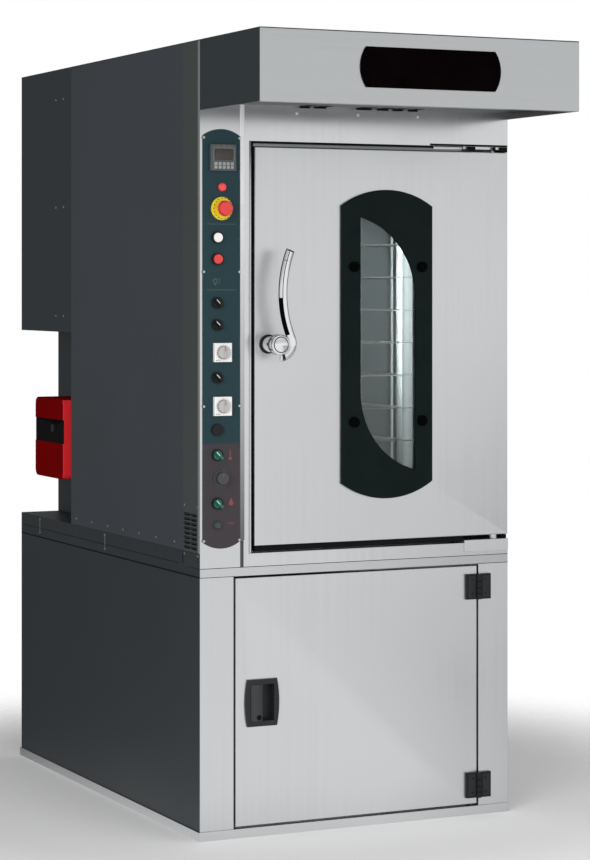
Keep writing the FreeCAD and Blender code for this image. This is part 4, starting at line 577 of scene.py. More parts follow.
class Finishes:
    """The finishes of the oven, by tone, roughness and what sets each apart."""

    FRONT = BrushedSteel("steel_front", Slot.STAINLESS)
    TRIM = BrushedSteel("steel_trim", Slot.STAINLESS, grain=Axis.X)
    HEADER = BrushedSteel("steel_header", Slot.STAINLESS, rough=0.19)
    FASCIA = BrushedSteel("steel_fascia", Slot.STAINLESS, (0.535, 0.550, 0.560), grain=Axis.X)
    LINER = BrushedSteel("steel_liner", Slot.STAINLESS, (0.25, 0.272, 0.280), 0.45, metal=0.55)
    # Painted shade: the baffle's steel is near black for the shade under the hood.
    SHADED_BAFFLE = BrushedSteel("steel_baffle", Slot.STAINLESS, (0.045, 0.048, 0.050), 0.42, Axis.X)
    DUCT = BrushedSteel("steel_duct", Slot.STAINLESS, (0.80, 0.82, 0.83), 0.38, metal=0.35, streak=0.16)
    EDGE = BrushedSteel("steel_edge", Slot.STAINLESS, (0.23, 0.24, 0.245), 0.5, metal=0.3)
    RACK = BrushedSteel("steel_rack", Slot.STAINLESS, (0.34, 0.355, 0.36), 0.42, metal=0.7)
    TRAY = BrushedSteel("tray_sheet", Slot.TRAY_ALUMINIUM, (0.52, 0.52, 0.51), 0.40, Axis.Y)
    HEAT = BrushedSteel("steel_heat", Slot.HEAT_STEEL, (0.30, 0.28, 0.26), 0.45, Axis.X)
    # Painted highlight down the bend of the control column.
    HIGHLIGHT_BEND = HighlightPaintedSteel("steel_bend", Slot.STAINLESS)
    SIDE = PaintedSteel("paint_side", Slot.DARK_PAINT, (0.037, 0.043, 0.051))
    SERVICE = PaintedSteel("paint_service", Slot.DARK_PAINT, (0.042, 0.052, 0.049))
    LOWER = PaintedSteel("paint_lower", Slot.DARK_PAINT, (0.020, 0.026, 0.031))
    DIM = PaintedSteel("paint_screw", Slot.DARK_PAINT, (0.13, 0.14, 0.145), 0.36)
    # Painted shade: the louvre blades are near black for the shade in the slots.
    SHADED_GRILLE = PaintedSteel("paint_grille", Slot.DARK_PAINT, (0.008, 0.011, 0.011))
    FRONTED = FrontedSteel("steel_fronted", Slot.DARK_PAINT)
    RAIL = FrontedSteel("steel_rail", Slot.DARK_PAINT, (0.021, 0.026, 0.030), (0.60, 0.61, 0.62))
    CHEEK = FrontedSteel("steel_cheek", Slot.DARK_PAINT, (0.022, 0.029, 0.032), (0.22, 0.23, 0.235), True)
    CHROME = Polished("chrome_bright", Slot.CHROME)
    SCREW = Polished("screw_bright", Slot.CHROME, (0.66, 0.66, 0.66), 0.22)
    BLACK = Moulded("plastic_black", Slot.BLACK_PLASTIC, (0.009, 0.0095, 0.0105), 0.38, gloss=0.18)
    LATCH = Moulded("plastic_latch", Slot.BLACK_PLASTIC, (0.024, 0.027, 0.030), 0.30, gloss=0.4)
    SHELL = Moulded("plastic_shell", Slot.BLACK_PLASTIC, (0.0145, 0.0155, 0.0165), 0.34, gloss=0.25)
    STUD = Moulded("plastic_stud", Slot.BLACK_PLASTIC, (0.0015, 0.0020, 0.0020), 0.30, gloss=0.0, dust=0.0008)
    KNOB = Moulded("plastic_knob", Slot.BLACK_PLASTIC, (0.050, 0.052, 0.055), 0.42)
    INK_DARK = Moulded("ink_dark", Slot.BLACK_PLASTIC, (0.05, 0.045, 0.02), 0.5)
    BEZEL = Moulded(
        "glass_black", Slot.BLACK_GLASS, (0.0038, 0.0085, 0.0080), 0.16, depth=0.03 * MM, gloss=0.05,
        dust=0.002)
    DISPLAY = Moulded("glass_display", Slot.BLACK_GLASS, (0.052, 0.046, 0.042), 0.18, gloss=0.2)
    SIGN = Moulded(
        "sign_gloss", Slot.SIGN_BLACK, (0.0016, 0.0006, 0.0008), 0.24, depth=0.03 * MM, gloss=0.0,
        dust=0.0012)
    PANEL = PrintedPanel("panel_foil", Slot.PANEL_PRINT)
    WHITE = Moulded("plastic_white", Slot.WHITE_PLASTIC, (0.80, 0.79, 0.78), 0.35)
    POINTER = Moulded("paint_pointer", Slot.WHITE_PLASTIC, (0.62, 0.64, 0.64), 0.4)
    RED = Moulded("plastic_red", Slot.RED_PLASTIC, (0.68, 0.055, 0.050), 0.32)
    INK_RED = Moulded("ink_red", Slot.RED_PLASTIC, (0.19, 0.055, 0.062), 0.5)
    LENS = PilotLens("lens_pilot", Slot.RED_LENS)
    YELLOW = Moulded("plastic_yellow", Slot.YELLOW_PLASTIC, (0.80, 0.62, 0.022), 0.36)
    GREEN = Moulded("plastic_green", Slot.GREEN_PLASTIC, (0.006, 0.110, 0.075), 0.30, coat=0.3)
    GREY = Moulded("plastic_grey", Slot.GREY_PLASTIC, (0.075, 0.085, 0.085), 0.45)
    KEY = Moulded("plastic_key", Slot.GREY_PLASTIC, (0.30, 0.31, 0.31), 0.45)
    DIAL = Moulded("plastic_dial", Slot.GREY_PLASTIC, (0.46, 0.44, 0.44), 0.38)
    INK_PALE = Moulded("ink_pale", Slot.GREY_PLASTIC, (0.11, 0.135, 0.14), 0.5)
    PANE = ThinGlass("glass_clear", Slot.CLEAR_GLASS)
    LAMP = Moulded("glass_lamp", Slot.LAMP_GLASS, (0.95, 0.93, 0.88), 0.30, glow=3.0)
    RUBBER = Moulded(
        "rubber_seal", Slot.SEAL_RUBBER, (0.0035, 0.0035, 0.0037), 0.68, 300.0, gloss=0.1, dust=0.002)
    BURNER = BandedCover("burner_cover", Slot.BURNER_RED)
    MOTOR = Moulded("motor_paint", Slot.MOTOR_GREY, (0.12, 0.13, 0.14), 0.42)
    WOOL = Fibrous("wool_mat", Slot.MINERAL_WOOL)


# The first finish that is listed for a slot is the slot's own
SLOT_FINISH: dict[Slot, Finish] = {
    item.slot: item for item in reversed(vars(Finishes).values()) if isinstance(item, Finish)}
NODE_SLOT: dict[str, Slot] = {
    item["node"]: Slot(item["material_slot"]) for item in frame["record"]["subparts"]}
NODE_BODY: dict[str, str] = {
    node: body for body, members in frame["record"]["behaviour"]["bodies"].items() for node in members}


# Pieces
def new_piece(name: str, mesh: Mesh, finish: Finish, body: str) -> bpy.types.Object:
    """Put a mesh into the scene as a dressed piece.

    Args:
        name: Name of the piece.
        mesh: Its mesh, in frame coordinates.
        finish: Its finish.
        body: The body that it moves with.

    Returns:
        The piece.
    """
    piece = bpy.data.objects.new(name, mesh)
    bpy.context.scene.collection.objects.link(piece)
    mesh.materials.clear()
    mesh.materials.append(finish.material())
    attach(piece, body)
    LOG.info("%s: %d faces on %s", name, len(mesh.polygons), body)
    return piece


def settle(holder: bpy.types.Object) -> Mesh:
    """Return the mesh that an object's modifiers make, and remove the object.

    Args:
        holder: Object with modifiers.

    Returns:
        A plain mesh.
    """
    graph = bpy.context.evaluated_depsgraph_get()
    mesh = bpy.data.meshes.new_from_object(holder.evaluated_get(graph), depsgraph=graph)
    bpy.data.objects.remove(holder)
    return mesh


@dataclass
class SoftCopy:
    """A merged copy of a CAD node with eased edges, which stands for the node."""

    node: str
    width: float
    finish: Finish | None = None
    steps: int = 2
    least: float = math.radians(28.0)
    merge: float = 0.02 * MM
    flat: float = math.radians(0.4)

    def build(self) -> None:
        """Make the copy."""
        form = bmesh.new()
        form.from_mesh(frame["nodes"][self.node].data)
        bmesh.ops.remove_doubles(form, verts=form.verts, dist=self.merge)
        bmesh.ops.dissolve_limit(form, angle_limit=self.flat, verts=form.verts, edges=form.edges)
        mesh = bpy.data.meshes.new(f"{self.node}_plain")
        form.to_mesh(mesh)
        form.free()
        holder = bpy.data.objects.new(f"{self.node}_plain", mesh)
        bpy.context.scene.collection.objects.link(holder)
        mesh.shade_smooth()
        if self.width > 0.0:
            bevel = holder.modifiers.new("ease", "BEVEL")
            bevel.width = self.width
            bevel.segments = self.steps
            bevel.limit_method = "ANGLE"
            bevel.angle_limit = self.least
            flatten = holder.modifiers.new("flatten", "WEIGHTED_NORMAL")
            flatten.mode = "FACE_AREA"
            flatten.weight = 100
            flatten.keep_sharp = True
        else:
            mesh.set_sharp_from_angle(angle=self.least)
        eased = settle(holder)
        bpy.data.meshes.remove(mesh)
        finish = self.finish or SLOT_FINISH[NODE_SLOT[self.node]]
        piece = new_piece(f"{self.node}_skin", eased, finish, NODE_BODY[self.node])
        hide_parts(self.node)


class Clay:
    """A mesh under construction."""

    def __init__(self) -> None:
        """Start an empty mesh."""
        self.form = bmesh.new()

    def slab(self, low: Point, high: Point, ease: float = 0.0) -> None:
        """Add a block with eased edges.

        Args:
            low: Lowest corner.
            high: Highest corner.
            ease: Width of the eased edges.
        """
        made = bmesh.ops.create_cube(self.form, size=1.0)["verts"]
        bmesh.ops.scale(self.form, vec=Vector(high) - Vector(low), verts=made)
        bmesh.ops.translate(self.form, vec=(Vector(low) + Vector(high)) / 2, verts=made)
        if ease > 0.0:
            edges = list({edge for vert in made for edge in vert.link_edges})
            bmesh.ops.bevel(self.form, geom=edges, offset=ease, segments=2, affect="EDGES", profile=0.5)

    def lathe(self, centre: Point, profile: list[Pair], facing: Facing = Facing.FRONT,
              steps: int = 48) -> None:
        """Add a turned form.

        Args:
            centre: Point at height zero on its axis.
            profile: Radius and height pairs in millimetres, from end to end, or back to the first in a ring.
            facing: The way that its height runs.
            steps: Points round the form.
        """
        closed = profile[0] == profile[-1]
        turn = Matrix.Translation(centre) @ Euler(facing.value).to_matrix().to_4x4()
        rings = []
        for radius, height in profile[:-1] if closed else profile:
            ring = []
            for index in range(steps if radius else 1):
                angle = 2.0 * math.pi * index / steps
                spot = Vector((radius * math.cos(angle), radius * math.sin(angle), height)) * MM
                ring.append(self.form.verts.new(turn @ spot))
            rings.append(ring)
        for lower, upper in zip(rings, rings[1:] + rings[:1] if closed else rings[1:]):
            for index in range(steps):
                corners = [ring[place % len(ring)] for ring, place in (
                    (lower, index), (lower, index + 1), (upper, index + 1), (upper, index))]
                unique = list(dict.fromkeys(corners))
                if len(unique) > 2:
                    self.form.faces.new(unique)
        for ring in () if closed else (rings[0][::-1], rings[-1]):
            if len(ring) > 2:
                self.form.faces.new(ring)

    def hoop(self, centre: Point, radii: Pair, heights: Pair, facing: Facing = Facing.FRONT,
             steps: int = 48) -> None:
        """Add a flat ring.

        Args:
            centre: Point at height zero on its axis.
            radii: Inner and outer radius in millimetres.
            heights: Low and high end in millimetres.
            facing: The way that its height runs.
            steps: Points round the ring.
        """
        (inner, outer), (low, high) = radii, heights
        profile = [(inner, low), (outer, low), (outer, high), (inner, high), (inner, low)]
        self.lathe(centre, profile, facing, steps)

    def plate(self, outline: list[Pair], y: Pair) -> None:
        """Add a thin plate that faces the front.

        Args:
            outline: Points in x and z, in order round the plate.
            y: Front and rear of the plate.
        """
        front, rear = [[self.form.verts.new((x, depth, z)) for x, z in outline] for depth in y]
        self.form.faces.new(front)
        self.form.faces.new(rear[::-1])
        for index in range(len(outline)):
            self.form.faces.new((front[index - 1], rear[index - 1], rear[index], front[index]))

    def mesh(self, name: str, smooth: float = 35.0) -> Mesh:
        """Close the mesh with outward normals.

        Args:
            name: Name of the mesh.
            smooth: Angle in degrees up to which faces shade smooth.

        Returns:
            The mesh.
        """
        bmesh.ops.recalc_face_normals(self.form, faces=self.form.faces)
        mesh = bpy.data.meshes.new(name)
        self.form.to_mesh(mesh)
        self.form.free()
        mesh.shade_smooth()
        mesh.set_sharp_from_angle(angle=math.radians(smooth))
        return mesh

    def piece(self, name: str, finish: Finish, body: str = CASE, smooth: float = 35.0) -> None:
        """Close the mesh and put it into the scene as a dressed piece."""
        new_piece(name, self.mesh(name, smooth), finish, body)


def soften(width: float, finish: Finish | None, *nodes: str) -> None:
    """Make the soft copies of CAD nodes that share a width and a finish.

    Args:
        width: Width of the eased edges in millimetres.
        finish: Their finish, or none for the finish of each node's slot.
        nodes: The nodes.
    """
    for node in nodes:
        SoftCopy(node, width * MM, finish).build()


def block_piece(name: str, finish: Finish, blocks: dict[float, list[Box]], body: str = CASE) -> None:
    """Make a piece from blocks.

    Args:
        name: Name of the piece.
        finish: Its finish.
        blocks: Boxes by the width of their eased edges in millimetres.
        body: The body that it moves with.
    """
    clay = Clay()
    for ease, boxes in blocks.items():
        for low, high in boxes:
            clay.slab(low, high, ease * MM)
    clay.piece(name, finish, body)


def shifted(origin: Point, *boxes: Box) -> list[Box]:
    """Return boxes moved to an origin.

    Args:
        origin: Where their zero goes.
        boxes: Boxes in millimetres.

    Returns:
        The moved boxes in metres.
    """
    start = Vector(origin)
    return [(tuple(start + Vector(low) * MM), tuple(start + Vector(high) * MM)) for low, high in boxes]


def front_of(node: str) -> tuple[Point, float]:
    """Return the middle of a CAD node's front and half the node's width.

    Args:
        node: The node.

    Returns:
        The point, and half the width.
    """
    low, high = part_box(node)
    return ((low[0] + high[0]) / 2, low[1], (low[2] + high[2]) / 2), (high[0] - low[0]) / 2


# Patterns in geometry nodes
HEAD_SIDES = 24
HEAD_TAPER = 0.72
CROSS_LONG = 1.15
CROSS_WIDE = 0.22
KEY_TAPER = 0.8


class PatternTree(NodeGraph):
    """A geometry-node group with named inputs."""

    def __init__(self, name: str) -> None:
        """Start a group.

        Args:
            name: Name of the group.
        """
        super().__init__(bpy.data.node_groups.new(name, "GeometryNodeTree"))
        for way in ("INPUT", "OUTPUT"):
            self.tree.interface.new_socket("Geometry", in_out=way, socket_type="NodeSocketGeometry")
        self.entry = self.add("NodeGroupInput")
        self.exit = self.add("NodeGroupOutput")

    def input(self, name: str, kind: str) -> Socket:
        """Add a named input, by its socket type without the prefix, and return its socket."""
        self.tree.interface.new_socket(name, in_out="INPUT", socket_type=f"NodeSocket{kind}")
        return self.entry.outputs[name]

    def vector(self, x: object = 0.0, y: object = 0.0, z: object = 0.0) -> Socket:
        """Return the vector of three values or sockets."""
        return self.add("ShaderNodeCombineXYZ", {0: x, 1: y, 2: z}).outputs[0]

    def on_points(self, points: Socket, item: Node, turn: Socket) -> Socket:
        """Set what a node makes on every point, with a turn."""
        inputs = {"Points": points, "Instance": item.outputs[0], "Rotation": turn}
        return self.add("GeometryNodeInstanceOnPoints", inputs).outputs[0]

    def finish(self, geometry: Socket) -> Tree:
        """Realise the instances, set the material and close the group.

        Args:
            geometry: The pattern.

        Returns:
            The group.
        """
        real = self.add("GeometryNodeRealizeInstances", {0: geometry}).outputs[0]
        dress = {"Geometry": real, "Material": self.input("Finish", "Material")}
        dressed = self.add("GeometryNodeSetMaterial", dress)
        self.tree.links.new(dressed.outputs[0], self.exit.inputs[0])
        return self.tree


@cache
def screw_tree() -> Tree:
    """Return the group that puts a crossed screw head on every point.

    Returns:
        The group.
    """
    group = PatternTree("screw_heads")
    radius = group.input("Head Radius", "Float")
    height = group.input("Head Height", "Float")
    turn = group.input("Facing", "Vector")
    seed = group.input("Seed", "Int")
    top = group.calc("MULTIPLY", radius, HEAD_TAPER)
    cone = {"Vertices": HEAD_SIDES, "Radius Top": top, "Radius Bottom": radius, "Depth": height}
    body = group.add("GeometryNodeMeshCone", cone).outputs[0]
    head = group.add("GeometryNodeMeshBoolean", {0: body}, operation="DIFFERENCE")
    arm = group.calc("MULTIPLY", radius, CROSS_LONG)
    width = group.calc("MULTIPLY", radius, CROSS_WIDE)
    for x, y in ((arm, width), (width, arm)):
        cube = group.add("GeometryNodeMeshCube", {"Size": group.vector(x, y, height)}).outputs[0]
        cut = group.add("GeometryNodeTransform", {0: cube, "Translation": group.vector(z=height)})
        group.tree.links.new(cut.outputs[0], head.inputs[1])
    heads = group.on_points(group.entry.outputs["Geometry"], head, turn)
    chance = group.add("FunctionNodeRandomValue", {2: 0.0, 3: math.pi, "Seed": seed}, data_type="FLOAT")
    spin = group.vector(z=chance.outputs[1])
    turned = group.add("GeometryNodeRotateInstances", {0: heads, "Rotation": spin, "Local Space": True})
    return group.finish(turned.outputs[0])


@cache
def ring_tree() -> Tree:
    """Return the group that sets bars in a ring, each along its radius.

    Returns:
        The group.
    """
    group = PatternTree("bar_ring")
    count = group.input("Count", "Int")
    circle = {"Vertices": count, "Radius": group.input("Radius", "Float")}
    ring = group.add("GeometryNodeMeshCircle", circle).outputs[0]
    bar = group.add("GeometryNodeMeshCube", {"Size": group.input("Bar Size", "Vector")})
    step = group.calc("DIVIDE", 2.0 * math.pi, count)
    angle = group.calc("MULTIPLY", group.add("GeometryNodeInputIndex").outputs[0], step)
    bars = group.on_points(ring, bar, group.vector(z=angle))
    place = {"Rotation": group.input("Facing", "Vector"), "Translation": group.input("Centre", "Vector")}
    return group.finish(group.add("GeometryNodeTransform", {0: bars, **place}).outputs[0])


@cache
def key_tree() -> Tree:
    """Return the group that sets tapered keys in a row along X.

    Returns:
        The group.
    """
    group = PatternTree("key_row")
    step = group.vector(group.input("Pitch", "Float"))
    row = {"Count": group.input("Count", "Int"), "Offset": step}
    line = group.add("GeometryNodeMeshLine", row).outputs[0]
    size = group.input("Key Size", "Float")
    height = group.input("Key Height", "Float")
    top = group.calc("MULTIPLY", size, KEY_TAPER)
    cone = {"Vertices": 4, "Radius Top": top, "Radius Bottom": size, "Depth": height}
    key = group.add("GeometryNodeMeshCone", cone).outputs[0]
    squared = group.add("GeometryNodeTransform", {0: key, "Rotation": (0.0, 0.0, math.pi / 4)})
    keys = group.on_points(line, squared, group.input("Facing", "Vector"))
    placed = group.add("GeometryNodeTransform", {0: keys, "Translation": group.input("First", "Vector")})
    return group.finish(placed.outputs[0])


@cache
def blade_tree() -> Tree:
    """Return the group that sets a tilted louvre blade on every point.

    Returns:
        The group.
    """
    group = PatternTree("louvre_blades")
    blade = group.add("GeometryNodeMeshCube", {"Size": group.input("Blade Size", "Vector")})
    turn = group.vector(y=group.input("Tilt", "Float"))
    return group.finish(group.on_points(group.entry.outputs["Geometry"], blade, turn))


def run_pattern(name: str, tree: Tree, values: dict, finish: Finish, body: str = CASE,
                points: list[Point] | None = None) -> None:
    """Run a geometry-node group once and keep its plain mesh as a piece.

    Args:
        name: Name of the piece.
        tree: The group.
        values: Values by input name.
        finish: Finish of the piece.
        body: The body that it moves with.
        points: Points that the pattern stands on.
    """
    seed = bpy.data.meshes.new(f"{name}_points")
    seed.from_pydata(points or [], [], [])
    holder = bpy.data.objects.new(f"{name}_pattern", seed)
    bpy.context.scene.collection.objects.link(holder)
    modifier = holder.modifiers.new("pattern", "NODES")
    modifier.node_group = tree
    ids = {item.name: item.identifier for item in tree.interface.items_tree if item.in_out == "INPUT"}
    for key, value in {**values, "Finish": finish.material()}.items():
        modifier[ids[key]] = value
    new_piece(name, settle(holder), finish, body)


@dataclass(frozen=True)
class BarRing:
    """A ring of bars that faces the front, in millimetres: its gap to a radius, and a bar's size."""

    count: int
    gap: float
    bar: Point

    def build(self, name: str, finish: Finish, centre: Point, radius: float, body: str = CASE) -> None:
        """Make the ring.

        Args:
            name: Name of the piece.
            finish: Its finish.
            centre: Middle of the ring.
            radius: Radius that the gap is added to.
            body: The body that it moves with.
        """
        values = {
            "Count": self.count, "Radius": radius + self.gap * MM, "Bar Size": tuple(Vector(self.bar) * MM),
            "Facing": Facing.FRONT.value, "Centre": centre}
        run_pattern(name, ring_tree(), values, finish, body)


@dataclass
class ScrewField:
    """A group of screw heads on one face."""

    name: str
    facing: Facing
    points: list[Point]
    seed: int
    finish: Finish = Finishes.SCREW
    body: str = CASE
    radius: float = 4.6 * MM
    height: float = 2.2 * MM

    def build(self) -> None:
        """Make the heads."""
        values = {
            "Head Radius": self.radius, "Head Height": self.height, "Facing": self.facing.value,
            "Seed": self.seed}
        run_pattern(self.name, screw_tree(), values, self.finish, self.body, self.points)


# Sub-assemblies
@dataclass
class ProvingBase:
    """The proving cabinet: shell, front, door, hinges and latch."""

    hinge_x: float = 0.397
    hinge_y: float = -0.758
    hinge_z: Pair = (0.088, 0.676)
    hinge_hole: Pair = (0.022, 0.021)
    screw_y: float = -0.7587
    screw: Pair = (4.2 * MM, 1.0 * MM)
    cover_x: Pair = (0.012, 0.036)
    cover_y: Pair = (-0.7592, -0.7576)
    cover_half: float = 0.032
    cover_ease: float = 0.8 * MM
    groove_radii: Pair = (7.2, 8.25)
    groove_half: float = 1.5
    groove_steps: int = 32
    groove_z: Point = (-0.0205, -0.004, 0.0155)
    lock_at: Pair = (-0.3195, 0.3385)

    def build(self) -> None:
        """Make the pieces."""
        soften(1.0, Finishes.TRIM, "base_pan")
        soften(1.0, Finishes.LOWER, "base_shell")
        soften(0.8, Finishes.FRONT, "base_front_frame")
        soften(0.0, Finishes.FRONT, "base_door_leaf")
        soften(1.2, None, "base_hinge_fixed", "base_hinge_moving")
        soften(1.0, Finishes.SHELL, "latch_housing")
        SoftCopy("latch_paddle", 2.0 * MM, Finishes.LATCH, steps=4).build()
        self.lock()
        self.hinges()

    def lock(self) -> None:
        """Set the lock barrel into the foot of the latch."""
        clay = Clay()
        x, z = self.lock_at
        barrel = [(7.5, -1.0), (7.5, 0.8), (6.6, 1.2), (5.4, 1.2), (4.8, 0.3), (0.0, 0.3)]
        clay.lathe((x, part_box("latch_paddle")[0][1], z), barrel)
        clay.piece("latch_lock", Finishes.RUBBER, NODE_BODY["latch_paddle"])

    def hinges(self) -> None:
        """Put the covers, their screws and the grooves of the knuckles on the hinges."""
        reach, rise = self.hinge_hole
        for side, body, name in ((1, CASE, "fixed"), (-1, "base_door", "moving")):
            points = [(self.hinge_x + side * reach, self.screw_y, z + step * rise)
                      for z in self.hinge_z for step in (-1, 1)]
            ScrewField(
                f"hinge_screws_{name}", Facing.FRONT, points, 3, Finishes.BLACK, body, *self.screw).build()
            clay = Clay()
            near, far = sorted(self.hinge_x + side * offset for offset in self.cover_x)
            for z in self.hinge_z:
                clay.slab((near, self.cover_y[0], z - self.cover_half),
                          (far, self.cover_y[1], z + self.cover_half), self.cover_ease)
            clay.piece(f"hinge_cover_{name}", Finishes.SHELL, body)
        clay = Clay()
        heights = (-self.groove_half, self.groove_half)
        for height in (z + offset for z in self.hinge_z for offset in self.groove_z):
            spot = (self.hinge_x, self.hinge_y, height)
            clay.hoop(spot, self.groove_radii, heights, Facing.UP, self.groove_steps)
        clay.piece("hinge_grooves", Finishes.RUBBER)


@dataclass
class OvenCase:
    """The oven's cladding, under-frame and rear housing with their seals, joints, louvres and screws."""

    half: float = 0.500
    front: float = -0.750
    rear: float = 0.750
    top: float = 2.263
    # Painted shade: black strips in the gaps round the door, where shade falls; the foot and head strips are
    # also the door's seals.
    foot_seal_and_shade: Box = ((-0.329, -0.747, 0.8112), (0.350, -0.715, 0.8257))
    head_seal_and_shade: Box = ((-0.329, -0.738, 1.9740), (0.498, -0.708, 1.9795))
    post_gap_shade: Box = ((-0.3405, -0.738, 0.8112), (-0.3320, -0.705, 1.9795))
    recess_gap_shade: Box = ((0.351, -0.706, 0.8142), (0.4985, -0.694, 0.8257))
    pivot_gap_shade: Box = ((0.4825, -0.744, 0.8142), (0.4985, -0.694, 0.8257))
    end_gap_shade: Box = ((0.474, -0.7495, 1.9650), (0.4995, -0.708, 1.9795))
    header_gap_shade: Box = ((0.237, -0.7507, 1.9803), (0.499, -0.7495, 1.9860))
    pivot_marks: tuple[Pair, ...] = ((0.361, 0.388), (0.446, 0.457), (0.474, 0.491))
    pivot_mark_y: Pair = (-0.7536, -0.7525)
    pivot_mark_z: Pair = (1.9665, 1.9795)
    drip_rail: Box = ((-0.329, -0.7375, 1.9650), (0.350, -0.708, 1.9740))
    guide: Box = ((0.254, -0.7405, 1.9710), (0.350, -0.7375, 1.9780))
    post_bead: Box = ((-0.3450, -0.7485, 0.8070), (-0.3405, -0.7100, 1.9790))
    column_strip: Box = ((-0.3755, -0.7504, 0.7690), (-0.3650, -0.745, 0.8440))
    # Strip that carries the painted highlight on the column's bend.
    column_highlight_strip: Box = ((-0.3764, -0.7507, 0.8445), (-0.3625, -0.7485, 2.0826))
    column_edge: Box = ((-0.5004, -0.7497, 0.8115), (-0.4990, -0.7353, 2.2595))
    # Painted shade: black blocks where the vent slots under the hood show dark inside.
    vent_shades: tuple[Pair, ...] = (
        (-0.188, -0.156), (-0.142, -0.103), (-0.006, 0.044), (0.061, 0.099), (0.112, 0.147), (0.164, 0.196))
    vent_shade_sides: tuple[tuple[Pair, Pair], ...] = (
        ((-0.7505, 2.0776), (-0.7490, 2.0832)), ((-0.7950, 2.0823), (-0.7490, 2.0834)))
    rail_joint: Box = ((-0.4995, -0.7504, 0.7673), (0.4995, -0.7490, 0.7690))
    stile_joints: tuple[Box, ...] = (
        ((-0.4995, -0.7504, 0.7421), (-0.3925, -0.7490, 0.7437)),
        ((0.3965, -0.7504, 0.7421), (0.4995, -0.7490, 0.7437)))
    flank_joints: tuple[Box, ...] = (
        ((0.4990, -0.749, 0.7415), (0.5005, 0.749, 0.7455)),
        ((0.4990, -0.600, 0.7712), (0.5005, 0.749, 0.7726)))
    corner_joint: Box = ((-0.5007, -0.6285, 0.7730), (-0.499, -0.6260, 0.8085))
    corner_plate: Box = ((-0.5004, -0.7340, 0.7690), (-0.4970, -0.6290, 0.8106))
    strap_y: Pair = (-0.015, 0.569)
    strap_z: Pair = (0.758, 0.802)
    strap_x: Pair = (0.4990, 0.5008)
    strap_half: float = 1.8 * MM
    blade: Point = (1.2 * MM, 41.0 * MM, 5.6 * MM)
    blade_x: float = -0.5009
    blade_y: Pair = (-0.7055, -0.6575)
    blade_foot: float = 0.8254
    blade_pitch: float = 13.4 * MM
    blade_rows: int = 8
    blade_tilt: float = math.radians(32.0)
    screw: Pair = (3.8 * MM, 2.0 * MM)
    row_y: tuple[float, ...] = (-0.566, -0.427, -0.296, -0.167, -0.040, 0.097, 0.232)
    row_z: float = 0.831
    pair_y: Pair = (0.347, 0.418)
    pair_z: Point = (1.470, 1.819, 2.165)
    grille_y: Pair = (-0.735, -0.641)
    grille_z: Pair = (0.942, 0.803)
    header_x: Point = (-0.197, -0.0005, 0.197)
    header_z: float = 2.0630
    housing_x: Point = (-0.470, 0.0, 0.470)
    housing_z: Point = (1.470, 1.840, 2.225)
    cover_x: Point = (-0.340, 0.065, 0.470)
    cover_z: Pair = (0.850, 1.380)
    roof_x: Pair = (-0.470, 0.470)
    roof_y: tuple[float, ...] = (-0.700, -0.240, 0.240, 0.320, 0.710)

    def build(self) -> None:
        """Make the pieces."""
        soften(0.8, Finishes.RAIL, "under_frame")
        soften(1.2, None, "oven_side_left", "oven_side_right", "oven_roof")
        soften(1.2, Finishes.LOWER, "rear_housing", "rear_cover")
        soften(0.6, Finishes.SERVICE, "service_panel")
        soften(1.0, Finishes.FRONTED, "control_column")
        soften(0.8, Finishes.HEADER, "front_frame")
        soften(0.8, Finishes.TRIM, "door_pivots")
        self.seals()
        self.joints()
        self.louvres()
        self.fasteners()

    def seals(self) -> None:
        """Lay black strips in the gaps round the door, partly seals and partly painted shade, the trim of the
        column with its painted highlight, and black blocks as painted shade in the vents under the hood.
        """
        (front, rear), (low, high) = self.pivot_mark_y, self.pivot_mark_z
        marks = [((left, front, low), (right, rear, high)) for left, right in self.pivot_marks]
        # Painted shade: the black strips darken the gaps round the door.
        block_piece("door_seals_and_gap_shade", Finishes.RUBBER, {
            0.8: [self.foot_seal_and_shade, self.head_seal_and_shade],
            0.4: [self.post_gap_shade, self.recess_gap_shade, self.pivot_gap_shade, self.end_gap_shade],
            0.2: [self.header_gap_shade, *marks]})
        block_piece("column_strip", Finishes.KNOB, {0.2: [self.column_strip]})
        block_piece("door_drip_rail", Finishes.LINER, {0.6: [self.drip_rail]})
        block_piece("pivot_guide", Finishes.TRIM, {0.5: [self.guide], 0.6: [self.post_bead]})
        block_piece("column_highlight_strip", Finishes.HIGHLIGHT_BEND, {0.4: [self.column_highlight_strip]})
        block_piece("column_edge", Finishes.EDGE, {0.2: [self.column_edge]})
        # Painted shade in the vents under the hood.
        vent_shades = [((left, *near), (right, *far))
                 for left, right in self.vent_shades for near, far in self.vent_shade_sides]
        block_piece("header_vent_shades", Finishes.RUBBER, {0.2: vent_shades})

    def joints(self) -> None:
        """Draw the joints of the under-frame, close its front corner and strap it to the base."""
        right = list(self.flank_joints)
        left = [((-upper[0], *lower[1:]), (-lower[0], *upper[1:])) for lower, upper in right]
        lines = [self.rail_joint, *self.stile_joints, *left, *right, self.corner_joint]
        block_piece("frame_joints", Finishes.RUBBER, {0.2: lines})
        block_piece("corner_plate", Finishes.LOWER, {0.3: [self.corner_plate]})
        foot, head = self.strap_z
        straps = []
        for side in (-1, 1):
            low, high = sorted(side * x for x in self.strap_x)
            for y in self.strap_y:
                straps.append(((low, y - self.strap_half, foot), (high, y + self.strap_half, head)))
        # The straps' light paint also stands in for a painted highlight line on them.
        block_piece("frame_straps", Finishes.DIM, {0.4: straps})

    def louvres(self) -> None:
        """Press a tilted blade over every slot of the grille; the blades' near-black paint is painted shade
        for the slots.
        """
        points = [(self.blade_x, y, self.blade_foot + row * self.blade_pitch)
                  for row in range(self.blade_rows) for y in self.blade_y]
        values = {"Blade Size": self.blade, "Tilt": self.blade_tilt}
        run_pattern("grille_blades", blade_tree(), values, Finishes.SHADED_GRILLE, points=points)

